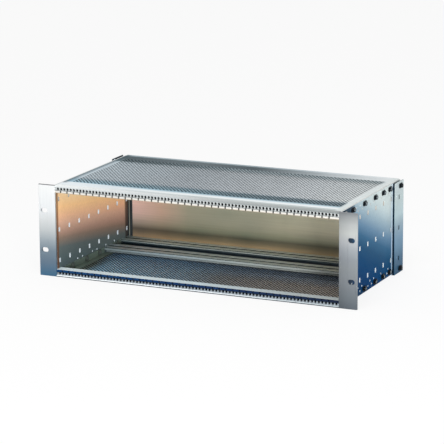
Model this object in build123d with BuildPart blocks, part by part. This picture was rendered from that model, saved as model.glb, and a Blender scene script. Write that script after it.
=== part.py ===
from build123d import *
import os

# Subrack card cage for a 19 inch rack, three units high and 84 modules wide.
# All lengths are in millimetres. X runs across the rack, Y from front to back
# and Z up. The origin is the centre of the rack slots on the front face of the
# flanges. A height called level is a distance from the middle plane, so one
# value places an upper piece (end = 1) and its lower twin (end = -1).

# Rack flanges
rack_width = 482.6
flange_height = 132.55
flange_width = 26.3
flange_thickness = 3.0
flange_return_depth = 16.0
flange_return_thickness = 2.0
flange_return_setback = 2.0
rack_slot_edge_distance = 8.75
rack_slot_row_distance = 57.15
rack_slot_length = 10.3
rack_slot_width = 6.8

# Cage and side panels
cage_depth = 226.0
cage_clearance = 0.175
panel_thickness = 2.5
panel_edge_setback = 0.2
slot_column_distance = 30.0
slot_row_distance = 44.45
slot_front_distance = 11.0
slot_length = 6.5
slot_width = 4.4
locating_hole_diameter = 2.8

# Front rails and their threaded strips
module_width = 5.08
front_hole_edge_distance = 4.85
front_hole_diameter = 2.7
rail_height = 10.5
rim_depth = 8.0
front_body_depth = 14.0
foot_depth = 8.0
foot_thickness = 2.5
mouth_height = 4.9
lip_thickness = 1.6
strip_height = 6.4
strip_thickness = 2.4
strip_clearance = 0.2

# Card rails behind the front rails
card_rail_width = 24.0
card_rail_height = 8.3
card_plate_thickness = 4.5
card_stem_width = 11.0
card_rail_gap = 30.0
groove_width = 1.2
groove_depth = 1.0
groove_count = 3
rail_core_diameter = 4.1

# Covers
cover_thickness = 1.0
cover_clearance = 0.1
tab_height = 8.7
tab_clearance = 1.5
perforation_pitch = 45.0
perforation_size = 23.0
perforation_front_margin = 6.0
perforation_rear_margin = 8.5
perforation_side_margin = 8.0
rear_lip_height = 2.6

# Rear panel, its screws and its gaskets
rear_panel_thickness = 2.5
rear_panel_clearance = 0.4
rear_panel_setback = 0.5
gasket_width = 7.4
gasket_height = 3.0
gasket_base_thickness = 0.8
gasket_bead_width = 1.8
gasket_clearance = 0.2
rear_screw_count = 4
rear_screw_end_distance = 20.0
rear_screw_diameter = 3.0
rear_screw_hole_diameter = 3.3
rear_screw_engagement = 6.0
rear_head_diameter = 5.6
rear_head_height = 1.8

# Rear side brackets
bracket_depth = 34.3
bracket_thickness = 1.5
bracket_offset = 5.45

# Screws, washers, nuts and bushes of the side walls. Heads and bushes are real
# hexagons, and shanks, threads and their holes are drawn with as many flats. The
# small holes of the threaded strips and side panels are drawn with four.
flat_count = 6
small_hole_flat_count = 4
screw_edge_distance = 6.1
screw_diameter = 4.0
screw_hole_diameter = 4.3
screw_engagement = 10.0
head_diameter = 6.7
head_height = 2.4
flange_head_height = 1.6
washer_length = 12.5
washer_width = 6.8
washer_thickness = 1.0
washer_clearance = 0.5
nut_width = 7.0
nut_thickness = 2.6
thread_runout = 0.8
bush_diameter = 8.0

# Places of the cover screws and of the locating holes, as shares of the length
# of the folded tab behind them
front_screw_shares = (0.172, 0.524, 0.855)
front_hole_shares = (0.268, 0.395, 0.645, 0.752)
rear_hole_shares = (0.12,)

# Sizes worked out from the ones above
bay_width = rack_width - 2 * flange_width
module_count = int(bay_width / module_width)
rack_slot_half_span = rack_width / 2 - rack_slot_edge_distance
panel_inner = bay_width / 2
panel_outer = panel_inner + panel_thickness
panel_front = flange_thickness
outer_level = flange_height / 2 - cage_clearance
cover_level = outer_level - cover_thickness
panel_level = outer_level - panel_edge_setback
front_inner_level = outer_level - rail_height
card_inner_level = cover_level - card_rail_height
card_plate_level = card_inner_level + card_plate_thickness
strip_level = outer_level - front_hole_edge_distance
screw_level = outer_level - screw_edge_distance
tab_level = cover_level - tab_height
foot_end = front_body_depth + foot_depth
rear_panel_front = cage_depth - rear_panel_setback
rear_panel_rear = rear_panel_front + rear_panel_thickness
rear_rail_front = rear_panel_front - card_rail_width
middle_rail_front = rear_rail_front - card_rail_gap - card_rail_width
rear_screw_level = card_inner_level + card_plate_thickness / 2
cover_half_width = panel_inner - cover_clearance
cover_rear = rear_panel_rear + cover_clearance + cover_thickness
bracket_front = cage_depth - bracket_depth
bracket_outer = panel_outer + bracket_offset
bracket_inner = bracket_outer - bracket_thickness
flange_outer = panel_outer + flange_return_thickness
washer_outer = panel_outer + washer_thickness
front_screw_depth = (front_body_depth + lip_thickness + strip_thickness) / 2
middle_screw_depth = middle_rail_front + card_rail_width / 2
rear_screw_depth = rear_rail_front + card_rail_width / 2

# The two folded tabs on each side of a cover: one between the front and the
# middle rail, one between the middle and the rear rail
front_tab = (foot_end + tab_clearance, middle_rail_front - tab_clearance)
rear_tab = (middle_rail_front + card_rail_width + tab_clearance, rear_rail_front - tab_clearance)

sides = {"left": -1, "right": 1}
ends = {"lower": -1, "upper": 1}


def along(span, shares):
    """Depths at the given shares of a span."""
    return [span[0] + share * (span[1] - span[0]) for share in shares]


rear_cover_screw_depth = bracket_front - washer_clearance - washer_length / 2
cover_screw_depths = along(front_tab, front_screw_shares) + [rear_cover_screw_depth]
locating_depths = along(front_tab, front_hole_shares) + along(rear_tab, rear_hole_shares)


def region(low, high, mode=Mode.ADD):
    """Rectangle in the current sketch, from one corner to the opposite one."""
    with Locations(((low[0] + high[0]) / 2, (low[1] + high[1]) / 2)):
        Rectangle(abs(high[0] - low[0]), abs(high[1] - low[1]), mode=mode)


def hexagon(diameter, mode=Mode.ADD):
    """Feature of a fastener with six flats, by its size across the corners."""
    RegularPolygon(diameter / 2, flat_count, mode=mode)


def small_hole(diameter):
    """Small hole with four flats in the current sketch, by its size across the corners."""
    RegularPolygon(diameter / 2, small_hole_flat_count, mode=Mode.SUBTRACT)


def above_and_below(depths, level):
    """Points on a side wall at the given depths, on both sides of the middle."""
    return [(depth, end * level) for depth in depths for end in ends.values()]


def side_plane(side, distance):
    """Plane across the rack's width, at a distance from its middle."""
    return Plane.YZ.offset(side * distance)


def slot_rows():
    """Number of rows of slots that the height of a side wall has room for."""
    return 2 * int((panel_level - slot_length) / slot_row_distance) + 1


def make_side_panel(side):
    """Flat side wall with its grid of upright slots and its screw holes."""
    columns = int((cage_depth - slot_front_distance - slot_width) / slot_column_distance) + 1
    grid_centre = slot_front_distance + slot_column_distance * (columns - 1) / 2
    screw_depths = [front_screw_depth, middle_screw_depth, rear_screw_depth]
    with BuildPart() as panel:
        with BuildSketch(side_plane(side, panel_inner)):
            region((panel_front, -panel_level), (cage_depth, panel_level))
            with Locations((grid_centre, 0)):
                with GridLocations(slot_column_distance, slot_row_distance, columns, slot_rows()):
                    Rectangle(slot_width, slot_length, mode=Mode.SUBTRACT)
            with Locations(*above_and_below(screw_depths + cover_screw_depths, screw_level)):
                hexagon(screw_hole_diameter, Mode.SUBTRACT)
            with Locations(*above_and_below(locating_depths, screw_level)):
                small_hole(locating_hole_diameter)
        extrude(amount=side * panel_thickness)
    return panel.part


def make_rack_flange(side):
    """Angle with the two rack slots, its return lying on the side panel."""
    return_level = panel_level - flange_return_setback
    return_rear = flange_thickness + flange_return_depth
    with BuildPart() as flange:
        with BuildSketch(Plane.XZ):
            with Locations((side * (panel_inner + flange_width / 2), 0)):
                Rectangle(flange_width, flange_height)
            with Locations((side * rack_slot_half_span, 0)):
                with GridLocations(rack_slot_length, rack_slot_row_distance, 1, 2):
                    SlotOverall(rack_slot_length, rack_slot_width, mode=Mode.SUBTRACT)
        extrude(amount=-flange_thickness)
        with BuildSketch(side_plane(side, panel_outer)):
            region((flange_thickness, -return_level), (return_rear, return_level))
            with Locations(*above_and_below([front_screw_depth], screw_level)):
                hexagon(screw_hole_diameter, Mode.SUBTRACT)
        extrude(amount=side * flange_return_thickness)
    return flange.part


def make_front_rail(end):
    """Extrusion with a rim, the mouth for the threaded strip and a screw core."""
    cavity_half = strip_height / 2 + strip_clearance
    cavity_rear = lip_thickness + strip_thickness + strip_clearance
    with BuildPart() as rail:
        with BuildSketch(side_plane(-1, panel_inner)):
            region((0, end * front_inner_level), (front_body_depth, end * cover_level))
            region((0, end * cover_level), (rim_depth, end * outer_level))
            region((0, end * (cover_level - foot_thickness)), (foot_end, end * cover_level))
            with Locations((0, end * strip_level)):
                Rectangle(2 * cavity_rear, mouth_height, mode=Mode.SUBTRACT)
            region(
                (lip_thickness, end * strip_level - cavity_half),
                (cavity_rear, end * strip_level + cavity_half),
                Mode.SUBTRACT,
            )
            with Locations((front_screw_depth, end * screw_level)):
                hexagon(rail_core_diameter, Mode.SUBTRACT)
        extrude(amount=bay_width)
    return rail.part


def make_threaded_strip(end):
    """Strip in the front rail's mouth, with one threaded hole for each module.

    The outermost holes, where a full-width front plate is screwed on, are round.
    """
    with BuildPart() as strip:
        with BuildSketch(Plane.XZ.offset(-lip_thickness)):
            with Locations((0, end * strip_level)):
                Rectangle(bay_width - 2 * strip_clearance, strip_height)
                with GridLocations(module_width, strip_height, module_count - 2, 1):
                    small_hole(front_hole_diameter)
                with GridLocations(module_width * (module_count - 1), strip_height, 2, 1):
                    Circle(front_hole_diameter / 2, mode=Mode.SUBTRACT)
        extrude(amount=-strip_thickness)
    return strip.part


def make_card_rail(front, end):
    """T-shaped extrusion, grooved on the side of the bay, with a screw core."""
    rear = front + card_rail_width
    middle = (front + rear) / 2
    with BuildPart() as rail:
        with BuildSketch(side_plane(-1, panel_inner)):
            region((front, end * card_inner_level), (rear, end * card_plate_level))
            region(
                (middle - card_stem_width / 2, end * card_plate_level),
                (middle + card_stem_width / 2, end * cover_level),
            )
            with Locations((middle, end * card_inner_level)):
                with GridLocations(card_rail_width / (groove_count + 1), groove_depth, groove_count, 1):
                    Rectangle(groove_width, 2 * groove_depth, mode=Mode.SUBTRACT)
            with Locations((middle, end * screw_level)):
                hexagon(rail_core_diameter, Mode.SUBTRACT)
        extrude(amount=bay_width)
    return rail.part


def rear_screw_points(end):
    """Places of the rear panel's screws along one rear rail."""
    spacing = (bay_width - 2 * rear_screw_end_distance) / (rear_screw_count - 1)
    start = rear_screw_end_distance - panel_inner
    return [(start + index * spacing, end * rear_screw_level) for index in range(rear_screw_count)]


def make_rear_rail(end):
    """Card rail at the back, with blind holes for the rear panel's screws."""
    with BuildPart() as rail:
        add(make_card_rail(rear_rail_front, end))
        with BuildSketch(Plane.XZ.offset(-rear_panel_front)):
            with Locations(*rear_screw_points(end)):
                hexagon(rear_screw_hole_diameter)
        extrude(amount=rear_screw_engagement + thread_runout, mode=Mode.SUBTRACT)
    return rail.part


def make_cover(end):
    """Perforated sheet with two screwed tabs on each side and a rear lip.

    Square perforations stand on their corners in a staggered grid, spread to the
    edges of its field at about their pitch.
    """
    cover_front = rim_depth + cover_clearance
    field_front = foot_end + perforation_front_margin
    field_rear = rear_rail_front - perforation_rear_margin
    field_width = 2 * (cover_half_width - perforation_side_margin)
    reach = perforation_size * 2**0.5
    column_span = field_width - reach
    row_span = field_rear - field_front - reach
    column_gaps = round(column_span / perforation_pitch)
    row_gaps = round(row_span / perforation_pitch)
    with BuildPart() as cover:
        with BuildSketch(Plane.XY.offset(end * cover_level)):
            region((-cover_half_width, cover_front), (cover_half_width, cover_rear))
            with Locations((0, (field_front + field_rear) / 2)):
                for more in (0, 1):
                    with GridLocations(
                        column_span / column_gaps, row_span / row_gaps, column_gaps + more, row_gaps + more
                    ):
                        Rectangle(perforation_size, perforation_size, rotation=45, mode=Mode.SUBTRACT)
        extrude(amount=end * cover_thickness)
        for side in sides.values():
            with BuildSketch(side_plane(side, cover_half_width)):
                for tab in (front_tab, rear_tab):
                    region((tab[0], end * tab_level), (tab[1], end * cover_level))
                with Locations(*[(depth, end * screw_level) for depth in cover_screw_depths]):
                    hexagon(screw_hole_diameter, Mode.SUBTRACT)
            extrude(amount=-side * cover_thickness)
        with BuildSketch(Plane.XZ.offset(-cover_rear)):
            region(
                (-cover_half_width, end * (cover_level - rear_lip_height)),
                (cover_half_width, end * cover_level),
            )
        extrude(amount=cover_thickness)
    return cover.part


def make_rear_panel():
    """Plain sheet that closes the back, screwed to both rear rails."""
    with BuildPart() as panel:
        with BuildSketch(Plane.XZ.offset(-rear_panel_front)):
            Rectangle(
                2 * (panel_inner - rear_panel_clearance), 2 * (cover_level - rear_panel_clearance)
            )
            for end in ends.values():
                with Locations(*rear_screw_points(end)):
                    hexagon(rear_screw_hole_diameter, Mode.SUBTRACT)
        extrude(amount=-rear_panel_thickness)
    return panel.part


def make_rear_screws():
    """Low-headed screws that hold the rear panel."""
    points = [point for end in ends.values() for point in rear_screw_points(end)]
    with BuildPart() as screws:
        with BuildSketch(Plane.XZ.offset(-rear_panel_rear)):
            with Locations(*points):
                hexagon(rear_head_diameter)
        extrude(amount=-rear_head_height)
        with BuildSketch(Plane.XZ.offset(-rear_panel_rear)):
            with Locations(*points):
                hexagon(rear_screw_diameter)
        extrude(amount=rear_panel_thickness + rear_screw_engagement)
    return screws.part


def make_gasket(side):
    """Upright sealing strip with a raised bead, between panel and side wall."""
    middle = side * (panel_inner - gasket_clearance - gasket_width / 2)
    height = 2 * (card_inner_level - gasket_clearance)
    with BuildPart() as gasket:
        for width, thickness in ((gasket_width, gasket_base_thickness), (gasket_bead_width, gasket_height)):
            with BuildSketch(Plane.XZ.offset(-rear_panel_front)):
                with Locations((middle, 0)):
                    Rectangle(width, height)
            extrude(amount=thickness)
    return gasket.part


def make_rear_bracket(side):
    """Angle standing off the rear of the side panel, with three upright slots."""
    height_level = flange_height / 2
    middle = (bracket_front + cage_depth) / 2
    with BuildPart() as bracket:
        with BuildSketch(side_plane(side, bracket_inner)):
            region((bracket_front, -height_level), (cage_depth, height_level))
            with Locations((middle, 0)):
                with GridLocations(slot_width, slot_row_distance, 1, slot_rows()):
                    Rectangle(slot_width, slot_length, mode=Mode.SUBTRACT)
            with Locations(*above_and_below([rear_screw_depth], screw_level)):
                hexagon(screw_hole_diameter, Mode.SUBTRACT)
        extrude(amount=side * bracket_thickness)
        with BuildSketch(side_plane(side, panel_outer)):
            region((bracket_front, -height_level), (bracket_front + bracket_thickness, height_level))
        extrude(amount=side * (bracket_inner - panel_outer))
    return bracket.part


def make_bushes(side):
    """Spacer bushes between the side panel and the rear bracket."""
    with BuildPart() as bushes:
        with BuildSketch(side_plane(side, panel_outer)):
            with Locations(*above_and_below([rear_screw_depth], screw_level)):
                hexagon(bush_diameter)
                hexagon(screw_hole_diameter, Mode.SUBTRACT)
        extrude(amount=side * (bracket_inner - panel_outer))
    return bushes.part


def make_washers(side):
    """Oblong clamping washers under the heads of the side screws."""
    with BuildPart() as washers:
        for depths, seat in (
            (cover_screw_depths + [middle_screw_depth], panel_outer),
            ([rear_screw_depth], bracket_outer),
        ):
            with BuildSketch(side_plane(side, seat)):
                with Locations(*above_and_below(depths, screw_level)):
                    Rectangle(washer_length, washer_width)
                    hexagon(screw_hole_diameter, Mode.SUBTRACT)
            extrude(amount=side * washer_thickness)
    return washers.part


def make_screws(side, groups):
    """Hexagon-headed screws, from groups of depths, seat, head height and tip."""
    with BuildPart() as screws:
        for depths, seat, height, tip in groups:
            points = above_and_below(depths, screw_level)
            with BuildSketch(side_plane(side, seat)):
                with Locations(*points):
                    hexagon(head_diameter)
            extrude(amount=side * height)
            with BuildSketch(side_plane(side, seat)):
                with Locations(*points):
                    hexagon(screw_diameter)
            extrude(amount=-side * (seat - tip))
    return screws.part


def make_cover_screws(side):
    """Screws that clamp the tabs of both covers to the side panel."""
    tip = cover_half_width - cover_thickness - nut_thickness - thread_runout
    return make_screws(side, [(cover_screw_depths, washer_outer, head_height, tip)])


def make_rail_screws(side):
    """Screws into the ends of the front, middle and rear rails."""
    tip = panel_inner - screw_engagement
    return make_screws(
        side,
        [
            ([front_screw_depth], flange_outer, flange_head_height, tip),
            ([middle_screw_depth], washer_outer, head_height, tip),
            ([rear_screw_depth], bracket_outer + washer_thickness, head_height, tip),
        ],
    )


def make_nuts(side):
    """Square nuts behind the tabs of the covers."""
    with BuildPart() as nuts:
        with BuildSketch(side_plane(side, cover_half_width - cover_thickness)):
            with Locations(*above_and_below(cover_screw_depths, screw_level)):
                Rectangle(nut_width, nut_width)
                hexagon(rail_core_diameter, Mode.SUBTRACT)
        extrude(amount=-side * nut_thickness)
    return nuts.part


def keep(piece, label):
    """Labels a finished piece and writes it to its own file."""
    piece.label = label
    export_step(piece, f"parts/{label}.step")


os.makedirs("parts", exist_ok=True)

for name, side in sides.items():
    keep(make_side_panel(side), f"side_panel_{name}")
    keep(make_rack_flange(side), f"rack_flange_{name}")
    keep(make_rear_bracket(side), f"rear_bracket_{name}")
    keep(make_bushes(side), f"bracket_bushes_{name}")
    keep(make_gasket(side), f"gasket_{name}")
    keep(make_washers(side), f"clamp_washers_{name}")
    keep(make_cover_screws(side), f"cover_screws_{name}")
    keep(make_rail_screws(side), f"rail_screws_{name}")
    keep(make_nuts(side), f"cover_nuts_{name}")

for name, end in ends.items():
    keep(make_front_rail(end), f"front_rail_{name}")
    keep(make_threaded_strip(end), f"threaded_strip_{name}")
    keep(make_card_rail(middle_rail_front, end), f"middle_rail_{name}")
    keep(make_rear_rail(end), f"rear_rail_{name}")

keep(make_cover(ends["upper"]), "top_cover")
keep(make_cover(ends["lower"]), "bottom_cover")
keep(make_rear_panel(), "rear_panel")
keep(make_rear_screws(), "rear_panel_screws")
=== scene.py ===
"""Looks of a subrack card cage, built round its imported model.

Sizes are in millimetres, the model's frame is X across the rack, Y from front to
back and Z up, and finished meshes are scaled to metres. A height called level is
a distance from the middle plane, so one value serves the upper and lower twin.
"""

import logging
import math
from collections.abc import Iterable, Sequence
from dataclasses import dataclass, field
from enum import Enum
from itertools import pairwise

import bmesh
import bpy
from mathutils import Matrix, Vector

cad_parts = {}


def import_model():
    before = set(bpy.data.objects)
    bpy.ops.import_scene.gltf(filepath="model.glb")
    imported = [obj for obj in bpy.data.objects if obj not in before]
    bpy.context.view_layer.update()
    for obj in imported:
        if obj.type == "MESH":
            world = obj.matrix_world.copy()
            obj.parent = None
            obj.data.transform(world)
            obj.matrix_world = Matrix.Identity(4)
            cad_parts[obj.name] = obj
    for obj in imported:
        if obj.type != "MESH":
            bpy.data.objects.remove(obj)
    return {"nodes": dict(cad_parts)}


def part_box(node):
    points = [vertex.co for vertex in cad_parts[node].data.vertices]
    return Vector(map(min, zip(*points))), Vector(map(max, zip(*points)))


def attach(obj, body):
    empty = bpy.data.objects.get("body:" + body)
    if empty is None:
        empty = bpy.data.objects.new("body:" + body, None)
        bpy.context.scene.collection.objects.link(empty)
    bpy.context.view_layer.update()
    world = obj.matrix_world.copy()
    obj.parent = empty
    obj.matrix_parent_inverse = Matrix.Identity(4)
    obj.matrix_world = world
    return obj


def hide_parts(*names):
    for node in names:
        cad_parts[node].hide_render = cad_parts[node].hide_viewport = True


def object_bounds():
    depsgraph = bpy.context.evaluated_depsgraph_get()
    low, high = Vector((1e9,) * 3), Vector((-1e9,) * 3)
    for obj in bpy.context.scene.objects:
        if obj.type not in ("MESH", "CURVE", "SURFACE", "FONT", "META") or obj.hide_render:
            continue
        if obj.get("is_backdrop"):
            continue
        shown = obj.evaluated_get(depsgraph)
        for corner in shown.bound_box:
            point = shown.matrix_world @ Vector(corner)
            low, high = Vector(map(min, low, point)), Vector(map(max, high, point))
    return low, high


Point = tuple[float, float]
Place = tuple[float, float, float]
Colour = tuple[float, float, float, float]
log = logging.getLogger("card_cage")

MM = 0.001
WHITE: Colour = (1.0, 1.0, 1.0, 1.0)

# Sizes that several sub-assemblies share
MODULE = 5.08
SCREW_LEVEL = 60.0
SCREW_HOLE = 4.3
RAIL_CORE = 4.1
WALL_SLOT: Point = (4.4, 6.5)
WALL_SLOT_CORNER = 0.5
WALL_SLOT_ROW = 44.45

# How finely round shapes are drawn
HOLE_CORNERS = 16
SHANK_CORNERS = 12
CORNER_STEPS = 2

# Corners nearer than this are joined, between cells and within a piece
CELL_GAP = 0.01
WELD_GAP = 0.001


class Half(Enum):
    """One half of the cage, as the sign of an axis."""

    @property
    def word(self) -> str:
        """The ending of its node names."""
        return self.name.lower()


class Side(Half):
    """Left or right half of the cage, as the sign of X."""

    LEFT = -1
    RIGHT = 1


class End(Half):
    """Lower or upper half of the cage, as the sign of Z."""

    LOWER = -1
    UPPER = 1


class Axis(Enum):
    """Axes of the cage, as the names of the sockets that hold them."""

    ACROSS = "X"
    DEPTH = "Y"
    HEIGHT = "Z"


class Slot(Enum):
    """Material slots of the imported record."""

    SHEET = "passivated_sheet"
    FLANGE = "brushed_flange"
    RAIL = "rail_aluminium"
    PERFORATED = "perforated_sheet"
    STRIP = "strip_steel"
    PLATED = "plated_steel"
    BLACKENED = "blackened_steel"
    RUBBER = "gasket_rubber"


def tint(code: str, alpha: float = 1.0) -> Colour:
    """Turns a display colour into the linear one that shaders take.

    Args:
        code: Six hexadecimal digits.
        alpha: Cover of the colour over what lies below it.

    Returns:
        Red, green, blue and alpha.
    """
    parts = [int(code[i : i + 2], 16) / 255 for i in (0, 2, 4)]
    linear = [p / 12.92 if p <= 0.04045 else ((p + 0.055) / 1.055) ** 2.4 for p in parts]
    return (*linear, alpha)


@dataclass(frozen=True)
class Box:
    """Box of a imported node, in millimetres."""

    low: Vector
    high: Vector

    @classmethod
    def of(cls, node: str) -> "Box":
        """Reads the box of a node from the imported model."""
        low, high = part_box(node)
        return cls(low / MM, high / MM)

    @property
    def middle(self) -> Vector:
        """Centre of the box."""
        return (self.low + self.high) / 2

    @property
    def sides(self) -> list[float]:
        """X of its side towards the middle of the cage, then of the other one."""
        return sorted((self.low.x, self.high.x), key=abs)

    @property
    def reaches(self) -> list[float]:
        """Distances of those two sides from the middle of the cage."""
        return [abs(x) for x in self.sides]

    @property
    def levels(self) -> list[float]:
        """Distances of its faces from the middle plane, nearest first."""
        return sorted((abs(self.low.z), abs(self.high.z)))


# Node trees


class Wire:
    """A socket that takes part in Python expressions on values."""

    def __init__(self, nodes: "Nodes", socket: bpy.types.NodeSocket) -> None:
        """Keeps the socket and the tree that it belongs to."""
        self.nodes = nodes
        self.socket = socket

    def _math(self, operation: str, first: "Wire | float", second: "Wire | float") -> "Wire":
        """Adds a Math node for one operation on two values."""
        return self.nodes.node("ShaderNodeMath", {"operation": operation}, {0: first, 1: second})

    def __add__(self, other: "Wire | float") -> "Wire":
        """Sum with a value."""
        return self._math("ADD", self, other)

    __radd__ = __add__

    def __sub__(self, other: "Wire | float") -> "Wire":
        """Difference from a value."""
        return self._math("SUBTRACT", self, other)

    def __rsub__(self, other: "Wire | float") -> "Wire":
        """Difference of a value from this one."""
        return self._math("SUBTRACT", other, self)

    def __mul__(self, other: "Wire | float") -> "Wire":
        """Product with a value."""
        return self._math("MULTIPLY", self, other)

    __rmul__ = __mul__

    def __truediv__(self, other: "Wire | float") -> "Wire":
        """Quotient by a value."""
        return self._math("DIVIDE", self, other)

    def __rtruediv__(self, other: "Wire | float") -> "Wire":
        """Quotient of a value by this one."""
        return self._math("DIVIDE", other, self)

    def __gt__(self, other: "Wire | float") -> "Wire":
        """One where this value is greater, else zero."""
        return self._math("GREATER_THAN", self, other)

    def __lt__(self, other: "Wire | float") -> "Wire":
        """One where this value is less, else zero."""
        return self._math("LESS_THAN", self, other)

    def __abs__(self) -> "Wire":
        """Size of this value without its sign."""
        return self._math("ABSOLUTE", self, 0.0)

    def __floor__(self) -> "Wire":
        """Whole number at or below this value."""
        return self._math("FLOOR", self, 0.0)


class Nodes:
    """A node tree that grows by expressions on its wires."""

    def __init__(self, tree: bpy.types.NodeTree) -> None:
        """Empties the tree and keeps it."""
        self.tree = tree
        tree.nodes.clear()

    def node(
        self,
        kind: str,
        settings: dict[str, object] | None = None,
        values: dict[str | int, object] | None = None,
        output: str | int = 0,
    ) -> Wire:
        """Adds one node of any type.

        Args:
            kind: Blender's name of the node type.
            settings: Properties set first, with a ramp's colours under "stops".
            values: Values or wires of the inputs, by name or place.
            output: Name or place of the output to return.

        Returns:
            The output as a wire.
        """
        made = self.tree.nodes.new(kind)
        for name, setting in (settings or {}).items():
            if name == "stops":
                self._set_stops(made.color_ramp, setting)
            else:
                setattr(made, name, setting)
        for name, value in (values or {}).items():
            if isinstance(value, Wire):
                self.tree.links.new(value.socket, made.inputs[name])
            else:
                made.inputs[name].default_value = value
        return Wire(self, made.outputs[output] if made.outputs else None)

    @staticmethod
    def _set_stops(ramp: bpy.types.ColorRamp, stops: Sequence[tuple[float, Colour]]) -> None:
        """Gives a ramp its colours.

        Args:
            ramp: The ramp of a node just made.
            stops: Place and colour of each stop, in order.
        """
        for place, _ in stops[len(ramp.elements) :]:
            ramp.elements.new(place)
        for element, (place, colour) in zip(ramp.elements, stops, strict=True):
            element.position = place
            element.color = colour


class Shader(Nodes):
    """Node tree of a material or a world."""

    def __init__(self, owner: bpy.types.Material | bpy.types.World) -> None:
        """Starts the tree of its owner."""
        owner.use_nodes = True
        super().__init__(owner.node_tree)

    def coordinates(self) -> Wire:
        """Object coordinates, in metres."""
        return self.node("ShaderNodeTexCoord", output="Object")

    def part(self, vector: Wire, axis: Axis) -> Wire:
        """One part of a vector."""
        return self.node("ShaderNodeSeparateXYZ", values={0: vector}, output=axis.value)

    def mix(self, factor: Wire | float, below: object, above: object, mode: str = "MIX") -> Wire:
        """Mixes two colours.

        Args:
            factor: Share of the upper colour.
            below: Lower colour.
            above: Upper colour.
            mode: Blender's name of the blend.

        Returns:
            The mixed colour.
        """
        settings = {"data_type": "RGBA", "blend_type": mode}
        return self.node("ShaderNodeMix", settings, {0: factor, 6: below, 7: above}, output=2)

    def stretched(self, vector: Wire, scale: Place) -> Wire:
        """Scales coordinates by a factor for each axis."""
        return self.node("ShaderNodeVectorMath", {"operation": "MULTIPLY"}, {0: vector, 1: scale})

    def noise(self, vector: Wire, scale: float, detail: float) -> Wire:
        """Soft noise between nought and one."""
        values = {"Vector": vector, "Scale": scale, "Detail": detail}
        return self.node("ShaderNodeTexNoise", values=values)

    def bump(self, height: Wire, strength: float, distance: float) -> Wire:
        """Normals of a relief, whose depth is in millimetres."""
        values = {"Strength": strength, "Distance": distance * MM, "Height": height}
        return self.node("ShaderNodeBump", values=values)

    def surface(self, values: dict[str, object]) -> None:
        """Ends a material with one Principled surface."""
        surface = self.node("ShaderNodeBsdfPrincipled", values=values)
        self.node("ShaderNodeOutputMaterial", values={"Surface": surface})


@dataclass(frozen=True)
class Limit:
    """Band of distances from the middle of the cage, or from its front."""

    axis: Axis
    low: float
    high: float

    def cover(self, shader: Shader, place: Wire) -> Wire:
        """One inside the band, else zero.

        Args:
            shader: Shader that takes it.
            place: Object coordinates.

        Returns:
            The cover.
        """
        size = abs(shader.part(place, self.axis))
        return (size > self.low * MM) * (size < self.high * MM)


@dataclass(frozen=True)
class ToneRun:
    """Colours that follow one another along an axis, leaning by a share of the depth; most runs
    here paint light, shade and reflections.
    """

    axis: Axis
    start: float
    end: float
    stops: tuple[tuple[float, Colour], ...]
    limits: tuple[Limit, ...] = ()
    lean: float = 0.0

    def colours(self, shader: Shader, place: Wire) -> tuple[Wire, Wire]:
        """Adds the run to a shader.

        Args:
            shader: Shader that takes it.
            place: Object coordinates.

        Returns:
            The colour and its cover over what lies below.
        """
        length = (self.end - self.start) * MM
        distance = shader.part(place, self.axis)
        if self.lean:
            distance = distance + shader.part(place, Axis.DEPTH) * self.lean
        share = (distance - self.start * MM) / length
        ramp = {"stops": self.stops}
        colour = shader.node("ShaderNodeValToRGB", ramp, {0: share})
        cover = shader.node("ShaderNodeValToRGB", ramp, {0: share}, output="Alpha")
        for limit in self.limits:
            cover = cover * limit.cover(shader, place)
        return colour, cover


@dataclass(frozen=True)
class Grain:
    """Fine lines that rolling or drawing leaves in metal."""

    stretch: Place = (12.0, 400.0, 400.0)
    tone: float = 0.12
    depth: float = 0.04


@dataclass(frozen=True)
class MetalFinish:
    """Bare, plated or passivated metal with runs of colour, grain and wear; most runs hold painted
    light and shade.
    """

    name: str
    slot: Slot
    runs: tuple[ToneRun, ...]
    metallic: float = 0.75
    roughness: float = 0.38
    mottle: float = 0.08
    grain: Grain = Grain()
    warmth: Colour = tint("e8c9a0")
    warm_share: float = 0.06
    gloss: float = 0.3
    cloud_scale: float = 28.0
    line_wear: float = 0.16
    cloud_wear: float = 0.1

    def material(self) -> bpy.types.Material:
        """Builds the material.

        Returns:
            A material whose colour, roughness and bump vary over the surface.
        """
        material = bpy.data.materials.new(self.name)
        shader = Shader(material)
        place = shader.coordinates()
        colour, _ = self.runs[0].colours(shader, place)
        for run in self.runs[1:]:
            above, cover = run.colours(shader, place)
            colour = shader.mix(cover, colour, above)
        lines = shader.noise(shader.stretched(place, self.grain.stretch), 1.0, 2.0)
        clouds = shader.noise(place, self.cloud_scale, 4.0)
        colour = shader.mix(clouds * (2 * self.warm_share), colour, self.warmth)
        shade = 1 + (lines - 0.5) * (2 * self.grain.tone) + (clouds - 0.5) * (2 * self.mottle)
        grey = shader.node("ShaderNodeCombineColor", values={0: shade, 1: shade, 2: shade})
        rough = self.roughness + (lines - 0.5) * self.line_wear + (clouds - 0.5) * self.cloud_wear
        shader.surface({
            "Base Color": shader.mix(1.0, colour, grey, "MULTIPLY"),
            "Metallic": self.metallic,
            "Roughness": rough,
            "Specular IOR Level": self.gloss,
            "Normal": shader.bump(lines, self.grain.depth, 1.0),
        })
        return material


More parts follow.
